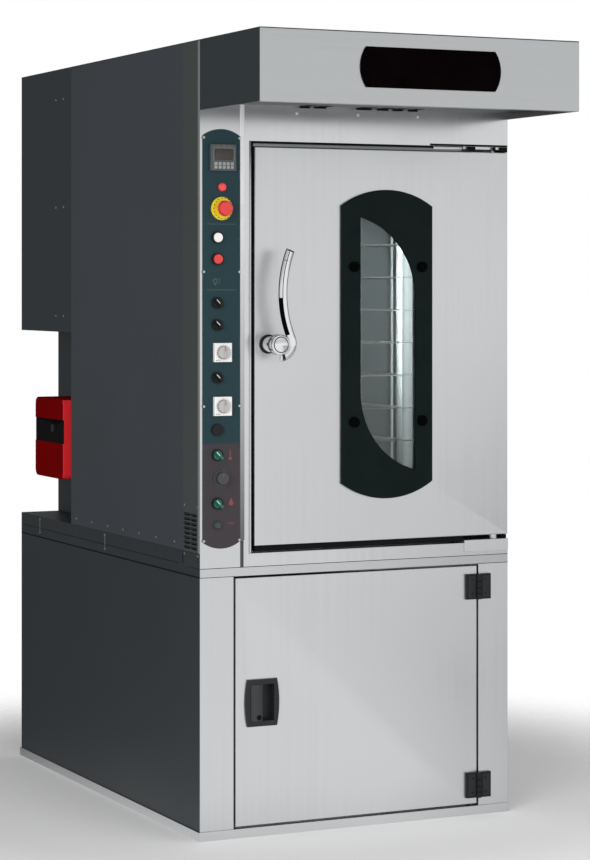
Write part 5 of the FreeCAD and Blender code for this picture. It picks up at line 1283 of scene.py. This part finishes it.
    def fasteners(self) -> None:
        """Put the screws into the sheets."""
        spots = [(y, self.row_z) for y in self.row_y]
        spots += [(y, z) for y in self.pair_y for z in self.pair_z]
        spots += [(y, z) for y in self.strap_y for z in reversed(self.strap_z)]
        grille = [(y, z) for z in self.grille_z for y in self.grille_y]
        small = (Finishes.DIM, CASE, *self.screw)
        left = [(-self.half, y, z) for y, z in (*spots, *grille)]
        ScrewField("side_screws_left", Facing.LEFT, left, 7, *small).build()
        right = [(self.half, y, z) for y, z in spots]
        ScrewField("side_screws_right", Facing.RIGHT, right, 11, *small).build()
        header = [(x, self.front, self.header_z) for x in self.header_x]
        # Pale plated screws; their half-diffuse bright tone also stands in for a painted highlight.
        ScrewField("header_screws", Facing.FRONT, header, 5, Finishes.DUCT).build()
        back = [(x, self.rear, z) for x in self.housing_x for z in self.housing_z]
        back += [(x, self.rear, z) for x in self.cover_x for z in self.cover_z]
        ScrewField("rear_screws", Facing.REAR, back, 13, Finishes.DIM).build()
        roof = [(x, y, self.top) for x in self.roof_x for y in self.roof_y]
        ScrewField("roof_screws", Facing.UP, roof, 17, Finishes.DIM).build()


@dataclass(frozen=True)
class Strip:
    """A strip on the lever: its ends above the hub, its sides in degrees round the section, and its lift."""

    run: Pair
    arc: Pair
    lift: float


@dataclass
class OvenDoor:
    """The oven door with its window and lever."""

    bezel_least: float = math.radians(20.0)
    hub: Pair = (-0.288, 1.401)
    hub_steps: int = 64
    dome_smooth: float = 60.0
    neck_y: float = -0.812
    neck_radii: Pair = (28.4, 29.2)
    neck_run: Pair = (0.0, 8.0)
    lever_y: float = -0.824
    half_wide: float = 13.0 * MM
    half_deep: float = 8.0 * MM
    crook_shift: float = 3.0 * MM
    crook_radius: float = 38.0 * MM
    crook_rise: float = 18.0 * MM
    sweep_radius: float = 324.0 * MM
    strip_sunk: float = 0.4 * MM
    # Painted reflection: the black inlay and edging strips stand for dark reflections, outlines and shade on
    # the chrome lever; the inlay is shaped as a grip inlay.
    dark_reflection_inlay: tuple[Strip, ...] = (
        Strip((30.0, 133.0), (104, 200), 0.25), Strip((133.0, 262.0), (101, 111), 0.12))
    joint: tuple[Strip, ...] = (Strip((236.0, 238.0), (90, 200), 0.2),)
    dark_reflection_edging: tuple[Strip, ...] = (
        Strip((263.0, 267.0), (4, 204), 0.2), Strip((-20.0, 263.0), (6, 44), 0.12),
        Strip((133.0, 263.0), (158, 204), 0.12), Strip((-31.0, 28.0), (152, 204), 0.12),
        Strip((-34.8, -32.8), (4, 204), 0.2))

    def build(self) -> None:
        """Make the pieces."""
        soften(0.0, Finishes.FRONT, "oven_door_skin")
        SoftCopy("window_bezel", 0.0, least=self.bezel_least).build()
        soften(1.0, Finishes.STUD, "glass_buttons")
        soften(0.0, None, "door_handle")
        # Painted reflection: black strips along the chrome lever.
        for name, finish, strips in (
                ("lever_reflection_inlay", Finishes.STUD, self.dark_reflection_inlay), ("lever_joint", Finishes.GREY, self.joint),
                ("lever_reflection_edging", Finishes.BLACK, self.dark_reflection_edging)):
            clay = Clay()
            for strip in strips:
                self.lay(clay, strip)
            clay.piece(name, finish, NODE_BODY["door_handle"])
        self.hub_trim()

    def lever_line(self, run: Pair, steps: int) -> list[tuple[Vector, Vector]]:
        """Return points on the lever's curve with the way across it.

        Args:
            run: Heights above the hub in millimetres where the points start and end.
            steps: Number of points.

        Returns:
            Pairs of a point and a unit vector across the lever, to the right.
        """
        shift = self.crook_shift
        joint = math.asin((self.crook_rise - shift) / self.crook_radius)
        far = self.crook_radius + self.sweep_radius
        sweep = Vector((shift + far * math.cos(joint), 0.0, shift + far * math.sin(joint)))
        hub = Vector((self.hub[0], self.lever_y, self.hub[1]))
        line = []
        for index in range(steps):
            rise = (run[0] + (run[1] - run[0]) * index / (steps - 1)) * MM
            if rise < self.crook_rise:
                angle = math.asin((rise - shift) / self.crook_radius)
                across = Vector((math.cos(angle), 0.0, math.sin(angle)))
                place = Vector((shift, 0.0, shift)) + across * self.crook_radius
            else:
                angle = math.asin((rise - sweep.z) / self.sweep_radius)
                across = Vector((math.cos(angle), 0.0, -math.sin(angle)))
                place = sweep - across * self.sweep_radius
            line.append((place + hub, across))
        return line

    def lay(self, clay: Clay, strip: Strip, along: int = 40, round_steps: int = 8) -> None:
        """Lay a strip along the lever's skin.

        Args:
            clay: Mesh to add to.
            strip: The strip.
            along: Points along the strip.
            round_steps: Steps across the strip.
        """
        first, last = (math.radians(angle) for angle in strip.arc)
        rows = []
        for place, across in self.lever_line(strip.run, along):
            row = []
            for index in range(round_steps + 1):
                angle = first + (last - first) * index / round_steps
                for off in (strip.lift * MM, -self.strip_sunk):
                    deep = Vector((0.0, -(self.half_deep + off) * math.sin(angle), 0.0))
                    spot = place + across * ((self.half_wide + off) * math.cos(angle)) + deep
                    row.append(clay.form.verts.new(spot))
            rows.append(row[::2] + row[:0:-2])
        for low, high in zip(rows, rows[1:]):
            for index in range(len(low)):
                clay.form.faces.new((low[index - 1], low[index], high[index], high[index - 1]))
        clay.form.faces.new(rows[0][::-1])
        clay.form.faces.new(rows[-1])

    def hub_trim(self) -> None:
        """Crown the lever's hub with a domed cap in a black ring, and ring its neck and its foot in black:
        painted shade and dark reflection round the hub, the foot ring also a washer.
        """
        x, z = self.hub
        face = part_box("door_handle")[0][1]
        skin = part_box("oven_door_skin")[0][1]
        dome = [(20.5, -0.5), (20.5, 0.6), (18.0, 1.9), (13.5, 3.2), (8.0, 4.1), (3.0, 4.5), (0.0, 4.6)]
        # Painted shade: black rings round the cap, the neck and the foot.
        shade_ring = [(20.4, -0.4), (23.2, -0.4), (23.2, 0.2), (20.4, 0.5), (20.4, -0.4)]
        foot = [(22.6, -0.3), (27.5, -0.3), (27.5, 3.5), (25.5, 5.0), (22.6, 5.0), (22.6, -0.3)]
        clay = Clay()
        clay.lathe((x, face, z), dome, steps=self.hub_steps)
        clay.piece("hub_dome", Finishes.CHROME, NODE_BODY["door_handle"], self.dome_smooth)
        clay = Clay()
        clay.lathe((x, face, z), shade_ring, steps=self.hub_steps)
        clay.lathe((x, skin, z), foot, steps=self.hub_steps)
        clay.hoop((x, self.neck_y, z), self.neck_radii, self.neck_run, steps=self.hub_steps)
        clay.piece("hub_shade_rings", Finishes.BLACK, NODE_BODY["door_handle"])


@dataclass
class Hood:
    """The hood with its slotted baffle and the bare sign plate."""

    lip_ends: float = 3.0 * MM
    lip_y: Pair = (-0.3 * MM, 1.2 * MM)
    lip_rise: float = 0.2 * MM

    def build(self) -> None:
        """Make the pieces."""
        soften(1.2, Finishes.FASCIA, "hood_fascia")
        soften(0.8, Finishes.CHEEK, "hood_cheeks")
        # Painted shade: the baffle is near black for the shade under the hood.
        soften(0.4, Finishes.SHADED_BAFFLE, "hood_baffle")
        soften(1.0, None, "sign_plate")
        self.lip()

    def lip(self) -> None:
        """Close the gap between the foot of the fascia and the baffle with a pale strip, whose bright tone is
        painted light for the header to mirror.
        """
        low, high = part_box("hood_fascia")
        start = (low[0] + self.lip_ends, high[1] + self.lip_y[0], low[2] + self.lip_rise)
        end = (high[0] - self.lip_ends, high[1] + self.lip_y[1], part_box("hood_baffle")[0][2])
        # Painted light: the pale half-diffuse tone brightens the header's mirror image of the hood.
        block_piece("hood_lip", Finishes.DUCT, {0.3: [(start, end)]})


@dataclass
class ControlPanel:
    """The control panel with its controls. Sizes of marks without a unit are in millimetres."""

    face: float = -0.753
    screw_x: Pair = (-0.4895, -0.380)
    screw_z: tuple[float, ...] = (0.847, 1.227, 1.607, 1.986)
    screw: Pair = (4.4 * MM, 2.4 * MM)
    selectors: tuple[str, ...] = (
        "light_selector", "steam_selector", "fan_selector", "prover_selector", "humidity_selector")
    line: Box = ((-1.1, -0.3, -1.0), (1.1, 0.4, 13.4))
    line_ease: float = 0.25 * MM
    line_turn: float = math.radians(45.0)
    display: Box = ((-27.0, -0.5, -8.0), (27.0, 0.2, 24.0))
    rim: tuple[Box, ...] = (
        ((-33.5, -1.0, -12.0), (-29.5, 0.0, 29.0)), ((29.5, -1.0, -12.0), (33.5, 0.0, 29.0)),
        ((-33.5, -1.0, 27.0), (33.5, 0.0, 30.5)))
    key_count: int = 5
    key_pitch: float = 12.5
    key_size: float = 6.6
    key_height: float = 2.4
    first_key: Pair = (-25.0, -0.8)
    key_rows: Pair = (-17.5, -27.5)
    dots: Point = (-18.0, 0.0, 18.0)
    dots_rise: float = 33.5
    dial_ring_gaps: Pair = (0.6, 2.2)
    dial_ring_run: Pair = (-0.5, 0.4)
    dial_mark_from: Point = (-0.9, -0.3, 3.0)
    dial_mark_to: Pair = (0.9, 0.3)
    dial_mark_gap: float = 2.5
    dial_dots: Point = (-21.0, -16.0, -11.0)
    dial_dots_rise: float = -22.0
    knob_line: Box = ((-0.8, -0.3, 3.0), (0.8, 0.4, 13.0))
    ticks: BarRing = BarRing(24, 4.6, (3.4, 0.7, 0.6))
    dashes: BarRing = BarRing(18, -3.6, (1.8, 5.2, 0.5))
    scale: BarRing = BarRing(30, 4.0, (3.0, 0.8, 0.4))
    ribs: BarRing = BarRing(28, 0.0, (1.4, 1.3, 13.0))
    ribs_radius: float = 17.6 * MM
    ribs_sunk: float = 9.0 * MM
    ink: Pair = (-0.25, 0.20)
    ring_ink: Pair = (-0.20, 0.25)
    lamp_at: Pair = (-0.454, 1.581)
    lamp_radii: Pair = (5.0, 6.4)
    lamp_foot: tuple[Pair, Pair] = ((-2.4, -11.0), (2.4, -8.0))
    lamp_ray: tuple[Pair, Pair] = ((10.0, -0.6), (15.0, 0.6))
    lamp_rays: Point = (-6.0, 0.0, 6.0)
    bar_at: Pair = (-0.408, 1.079)
    bar: tuple[Pair, Pair] = ((-1.5, 3.0), (1.5, 25.0))
    bulb_radius: float = 5.0
    drop_at: Pair = (-0.405, 0.952)
    drop_radius: float = 7.0 * MM
    drop_tip: float = 16.0 * MM
    drop_arc: range = range(-120, 121, 20)
    wave_at: Pair = (-0.416, 0.896)
    wave_steps: int = 16
    wave_turn: float = math.pi / 4
    wave_wide: float = 22.0 * MM
    wave_rise: float = 2.2 * MM
    wave_thick: float = 2.4 * MM

    def build(self) -> None:
        """Make the pieces."""
        soften(0.5, None, "control_panel_plate")
        soften(0.0, Finishes.GREY, "temperature_controller")
        soften(0.5, None, "pilot_lamps", "estop_collar", "estop_button", "start_button", "stop_button",
               "switch_bezels", *self.selectors, "timer_frames")
        soften(0.5, Finishes.KNOB, "thermostat_knob")
        for node in ("bake_timer_dial", "steam_timer_dial"):
            soften(0.5, Finishes.DIAL, node)
            self.timer_scale(node)
        for node in self.selectors:
            self.pointer(node)
        self.controller()
        self.ring_marks()
        self.lamp_sign()
        self.heat_signs()
        points = [(x, self.face, z) for x in self.screw_x for z in self.screw_z]
        ScrewField("panel_screws", Facing.FRONT, points, 19, Finishes.SCREW, CASE, *self.screw).build()

    def controller(self) -> None:
        """Put the display, its rim, the keys and the signal dots on the controller."""
        (x, y, z), _ = front_of("temperature_controller")
        block_piece("controller_display", Finishes.DISPLAY, {0.3: shifted((x, y, z), self.display)})
        block_piece("controller_rim", Finishes.INK_PALE, {0.6: shifted((x, y, z), *self.rim)})
        left, front = self.first_key
        for row, rise in enumerate(self.key_rows, 1):
            run_pattern(f"controller_keys_{row}", key_tree(), {
                "Count": self.key_count, "Pitch": self.key_pitch * MM, "Key Size": self.key_size * MM,
                "Key Height": self.key_height * MM, "Facing": Facing.FRONT.value,
                "First": (x + left * MM, y + front * MM, z + rise * MM)}, Finishes.KEY)
        signal = [(1.7, -0.3), (1.6, 0.7), (0.0, 1.1)]
        clay = Clay()
        for step in self.dots:
            spot = (x + step * MM, y, z + self.dots_rise * MM)
            clay.lathe(spot, signal, steps=16)
        clay.piece("controller_dots", Finishes.RED)

    def timer_scale(self, node: str) -> None:
        """Put the scale round a timer dial and the mark on it.

        Args:
            node: The dial.
        """
        (x, y, z), radius = front_of(node)
        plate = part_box("timer_frames")[0][1]
        self.ticks.build(f"{node}_ticks", Finishes.GREY, (x, plate, z), radius)
        clay = Clay()
        inner, outer = (radius / MM + gap for gap in self.dial_ring_gaps)
        clay.hoop((x, plate, z), (inner, outer), self.dial_ring_run)
        dot = [(1.4, -0.3), (1.4, 0.3), (0.0, 0.4)]
        for step in self.dial_dots:
            spot = (x + step * MM, plate, z + self.dial_dots_rise * MM)
            clay.lathe(spot, dot, steps=12)
        clay.piece(f"{node}_scale", Finishes.GREY)
        mark = (self.dial_mark_from, (*self.dial_mark_to, radius / MM - self.dial_mark_gap))
        block_piece(f"{node}_mark", Finishes.GREY, {0.2: shifted((x, y, z), mark)}, NODE_BODY[node])

    def pointer(self, node: str) -> None:
        """Put the pale line on a selector's grip.

        Args:
            node: The selector.
        """
        clay = Clay()
        clay.slab(*shifted((0.0, 0.0, 0.0), self.line)[0], self.line_ease)
        turn = Matrix.Translation(front_of(node)[0]) @ Matrix.Rotation(-self.line_turn, 4, "Y")
        bmesh.ops.transform(clay.form, matrix=turn, verts=clay.form.verts)
        clay.piece(f"{node}_line", Finishes.POINTER, NODE_BODY[node])

    def ring_marks(self) -> None:
        """Mark the emergency stop with dashes, and the thermostat knob with ribs, a line and a scale."""
        centre, radius = front_of("estop_collar")
        self.dashes.build("estop_dashes", Finishes.INK_DARK, centre, radius)
        (x, y, z), radius = front_of("thermostat_knob")
        body = NODE_BODY["thermostat_knob"]
        self.ribs.build("knob_ribs", Finishes.BLACK, (x, y + self.ribs_sunk, z), self.ribs_radius, body)
        block_piece("knob_line", Finishes.INK_PALE, {0.2: shifted((x, y, z), self.knob_line)}, body)
        self.scale.build("knob_scale", Finishes.INK_PALE, (x, self.face, z), radius)

    def inked(self, at: Pair, *areas: tuple[Pair, Pair]) -> list[Box]:
        """Return the boxes of printed areas.

        Args:
            at: Where their zero goes, on x and z.
            areas: Lowest and highest corner of each in millimetres, on x and z.

        Returns:
            The boxes.
        """
        front, rear = self.ink
        boxes = [((low[0], front, low[1]), (high[0], rear, high[1])) for low, high in areas]
        return shifted((at[0], self.face, at[1]), *boxes)

    def lamp_sign(self) -> None:
        """Print the sign of a lamp with three rays over its selector."""
        (left, low), (right, high) = self.lamp_ray
        rays = [((left, low + rise), (right, high + rise)) for rise in self.lamp_rays]
        clay = Clay()
        clay.hoop((self.lamp_at[0], self.face, self.lamp_at[1]), self.lamp_radii, self.ring_ink, steps=24)
        for start, end in self.inked(self.lamp_at, self.lamp_foot, *rays):
            clay.slab(start, end)
        clay.piece("sign_lamp", Finishes.INK_PALE)

    def heat_signs(self) -> None:
        """Print the bar with its bulb, the drop and the wave beside the lower controls."""
        clay = Clay()
        for start, end in self.inked(self.bar_at, self.bar):
            clay.slab(start, end)
        bulb = [(self.bulb_radius, height) for height in self.ring_ink]
        clay.lathe((self.bar_at[0], self.face, self.bar_at[1]), bulb, steps=24)
        y = tuple(self.face + depth * MM for depth in self.ink)
        x, z = self.drop_at
        angles = [math.radians(angle) for angle in self.drop_arc]
        drop = [(x + self.drop_radius * math.sin(angle), z - self.drop_radius * math.cos(angle))
                for angle in angles]
        clay.plate([*drop, (x, z + self.drop_tip)], y)
        x, z = self.wave_at
        steps = range(self.wave_steps + 1)
        wave = [(x + self.wave_wide * step / self.wave_steps,
                 z + self.wave_rise * math.sin(step * self.wave_turn)) for step in steps]
        clay.plate([*wave, *[(right, high - self.wave_thick) for right, high in reversed(wave)]], y)
        clay.piece("sign_heat", Finishes.INK_RED)


@dataclass
class Chamber:
    """The baking chamber's rack, bright side duct and the liner's folded return."""

    duct_y: Pair = (-0.540, -0.118)
    duct_z: Pair = (0.880, 1.915)
    flutes: int = 5
    flute_steps: int = 6
    duct_depth: float = 7.0 * MM
    flute_depth: float = 1.6 * MM
    wall_bite: float = 0.2 * MM
    liner_return: Box = ((0.4716, -0.6704, 0.8112), (0.4736, -0.6546, 1.9798))

    def build(self) -> None:
        """Make the pieces."""
        soften(0.8, Finishes.RACK, "rack_frame")
        self.duct()
        block_piece("liner_return", Finishes.LINER, {0.4: [self.liner_return]})

    def duct(self) -> None:
        """Hang the fluted duct sheet on the right wall."""
        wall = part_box("air_diffuser")[1][0] + self.wall_bite
        clay = Clay()
        count = self.flutes * self.flute_steps
        rows = []
        for index in range(count + 1):
            wave = math.cos(2.0 * math.pi * self.flutes * index / count)
            face = wall - self.duct_depth - self.flute_depth * wave
            y = self.duct_y[0] + (self.duct_y[1] - self.duct_y[0]) * index / count
            corners = [(face, y, self.duct_z[0]), (face, y, self.duct_z[1]),
                       (wall, y, self.duct_z[1]), (wall, y, self.duct_z[0])]
            rows.append([clay.form.verts.new(corner) for corner in corners])
        for here, after in zip(rows, rows[1:]):
            for side in range(4):
                clay.form.faces.new((here[side - 1], after[side - 1], after[side], here[side]))
        clay.form.faces.new(rows[0])
        clay.form.faces.new(rows[-1])
        clay.piece("chamber_duct", Finishes.DUCT)


@dataclass
class Burner:
    """The burner on the left side of the rear housing."""

    button_ease: float = 1.5

    def build(self) -> None:
        """Make the pieces."""
        soften(0.0, None, "burner_unit")
        soften(self.button_ease, None, "burner_reset_button")


def dress_rest() -> None:
    """Give every CAD node the finish of its slot, and the chamber's walls the liner's."""
    special = {"chamber_liner": Finishes.LINER, "air_diffuser": Finishes.LINER}
    for name, item in frame["nodes"].items():
        finish = special.get(name, SLOT_FINISH[NODE_SLOT[name]])
        item.data.materials.clear()
        item.data.materials.append(finish.material())


# Studio
@dataclass(frozen=True)
class Lamp:
    """A soft lamp, square or an upright strip, which may be kept out of mirrors."""

    name: str
    place: Point
    aim: Point
    size: float
    power: float
    mirrored: bool = False
    tall: float = 0.0

    def build(self) -> None:
        """Hang the lamp."""
        light = bpy.data.lights.new(f"lamp_{self.name}", "AREA")
        light.size = self.size
        if self.tall:
            light.shape = "RECTANGLE"
            light.size_y = self.tall
        light.energy = self.power
        holder = bpy.data.objects.new(f"lamp_{self.name}", light)
        holder.location = self.place
        holder.rotation_euler = (Vector(self.aim) - Vector(self.place)).to_track_quat("-Z", "Y").to_euler()
        holder.visible_glossy = self.mirrored
        bpy.context.scene.collection.objects.link(holder)


@dataclass
class Studio:
    """Floor, light and camera."""

    eye: Point = (-3.4033, -7.4594, 1.5722)
    heading: float = 25.5
    lens: float = 108.5
    shift: float = -0.1696
    bright: Point = (0.30, -0.95, 0.0)
    bright_reach: Pair = (-0.9, 0.9)
    levels: Pair = (0.22, 1.0)
    rise: tuple[Pair, ...] = (
        (0.0, 0.90), (0.49, 0.98), (0.53, 0.97), (0.56, 0.80), (0.66, 0.64), (0.85, 0.86), (1.0, 1.0))
    floor_half: float = 14.0
    floor_thick: float = 0.02
    floor_tone: Colour = (0.93, 0.93, 0.93)
    floor_fade: Pair = (0.8, 2.1)
    floor_reach: Pair = (-1.2, 1.2)
    floor_levels: Pair = (0.22, 0.92)
    dim_way: Point = (1.0, 0.49, 0.0)
    dim_reach: Pair = (-0.3, 0.5)
    dim_levels: Pair = (1.0, 0.55)
    lamps: tuple[Lamp, ...] = (
        Lamp("key", (0.3, -5.4, 1.4), (-0.1, -0.5, 1.2), 2.0, 14.0),
        Lamp("left", (-4.2, -4.2, 2.2), (-0.5, -0.2, 1.2), 3.0, 130.0),
        Lamp("top", (0.4, -1.6, 5.0), (0.0, -0.4, 0.0), 3.2, 34.0, True),
        Lamp("chamber", (0.33, -0.630, 1.60), (0.40, -0.25, 1.52), 0.08, 13.0, tall=0.62),
    )

    def build(self) -> None:
        """Make the studio."""
        self.world()
        self.floor()
        for lamp in self.lamps:
            lamp.build()
        self.camera()

    def world(self) -> None:
        """Make the world: white where it is seen, and elsewhere a pale room that is brightest in front."""
        world = bpy.data.worlds.new("studio")
        bpy.context.scene.world = world
        world.use_nodes = True
        graph = NodeGraph(world.node_tree)
        way = graph.add("ShaderNodeTexCoord").outputs["Generated"]
        side = graph.remap(graph.dot(way, self.bright), self.bright_reach, self.levels)
        height = graph.remap(graph.part(way, Axis.Z), (-1.0, 1.0), (0.0, 1.0))
        ramp = graph.add("ShaderNodeValToRGB", {0: height})
        stops = ramp.color_ramp.elements
        while len(stops) < len(self.rise):
            stops.new(0.5)
        for stop, (place, level) in zip(stops, self.rise):
            stop.position = place
            stop.color = (level, level, level, 1.0)
        seen = graph.calc("MULTIPLY", side, ramp.outputs[0])
        rays = graph.add("ShaderNodeLightPath").outputs
        for ray in ("Is Camera Ray", "Is Transmission Ray"):
            seen = graph.calc("MAXIMUM", rays[ray], seen)
        light = graph.add("ShaderNodeBackground", {0: (1.0, 1.0, 1.0, 1.0), 1: seen})
        graph.add("ShaderNodeOutputWorld", {0: light.outputs[0]})

    def floor(self) -> None:
        """Make the pale floor, which fades into the background far from the oven and is dimmer in mirrors."""
        clay = Clay()
        half = self.floor_half
        clay.slab((-half, -half, -self.floor_thick), (half, half, 0.0))
        mesh = clay.mesh("studio_floor")
        graph = ShaderGraph("floor_pale")
        normal = graph.bump(graph.noise(60.0, 3.0), 0.02, 1.0 * MM)
        paint = graph.add("ShaderNodeBsdfDiffuse", {"Color": (*self.floor_tone, 1.0), "Normal": normal})
        clear = graph.add("ShaderNodeBsdfTransparent")
        away = graph.add("ShaderNodeVectorMath", {0: graph.coords}, operation="LENGTH").outputs["Value"]
        share = graph.remap(away, self.floor_fade, (0.0, 1.0), interpolation_type="SMOOTHSTEP")
        faded = graph.add("ShaderNodeMixShader", {0: share, 1: paint.outputs[0], 2: clear.outputs[0]})
        level = graph.remap(graph.dot(graph.coords, self.bright), self.floor_reach, self.floor_levels)
        dim = graph.remap(graph.dot(graph.coords, self.dim_way), self.dim_reach, self.dim_levels)
        pale = graph.add("ShaderNodeEmission", {"Strength": graph.calc("MULTIPLY", level, dim)})
        mirrored = graph.add("ShaderNodeLightPath").outputs["Is Glossy Ray"]
        mixed = graph.add("ShaderNodeMixShader", {0: mirrored, 1: faded.outputs[0], 2: pale.outputs[0]})
        mesh.materials.append(graph.output(mixed.outputs[0]))
        floor = bpy.data.objects.new("studio_floor", mesh)
        bpy.context.scene.collection.objects.link(floor)

    def camera(self) -> None:
        """Set the camera as the photograph has it."""
        data = bpy.data.cameras.new("camera")
        data.sensor_width = 36.0
        data.lens = self.lens
        data.shift_y = self.shift
        data.clip_end = 100.0
        camera = bpy.data.objects.new("camera", data)
        camera.location = self.eye
        camera.rotation_euler = (math.pi / 2, 0.0, -math.radians(self.heading))
        bpy.context.scene.collection.objects.link(camera)
        bpy.context.scene.camera = camera


def write_sizes() -> None:
    """Update the view layer."""
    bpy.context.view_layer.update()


def main() -> None:
    """Dress the oven and set up the studio."""
    logging.basicConfig(level=logging.INFO, format="%(name)s: %(message)s")
    bpy.context.scene.view_settings.view_transform = "Standard"
    for assembly in (ProvingBase(), OvenCase(), OvenDoor(), Hood(), ControlPanel(), Chamber(), Burner()):
        assembly.build()
    dress_rest()
    write_sizes()
    Studio().build()


if __name__ == "__main__":
    main()
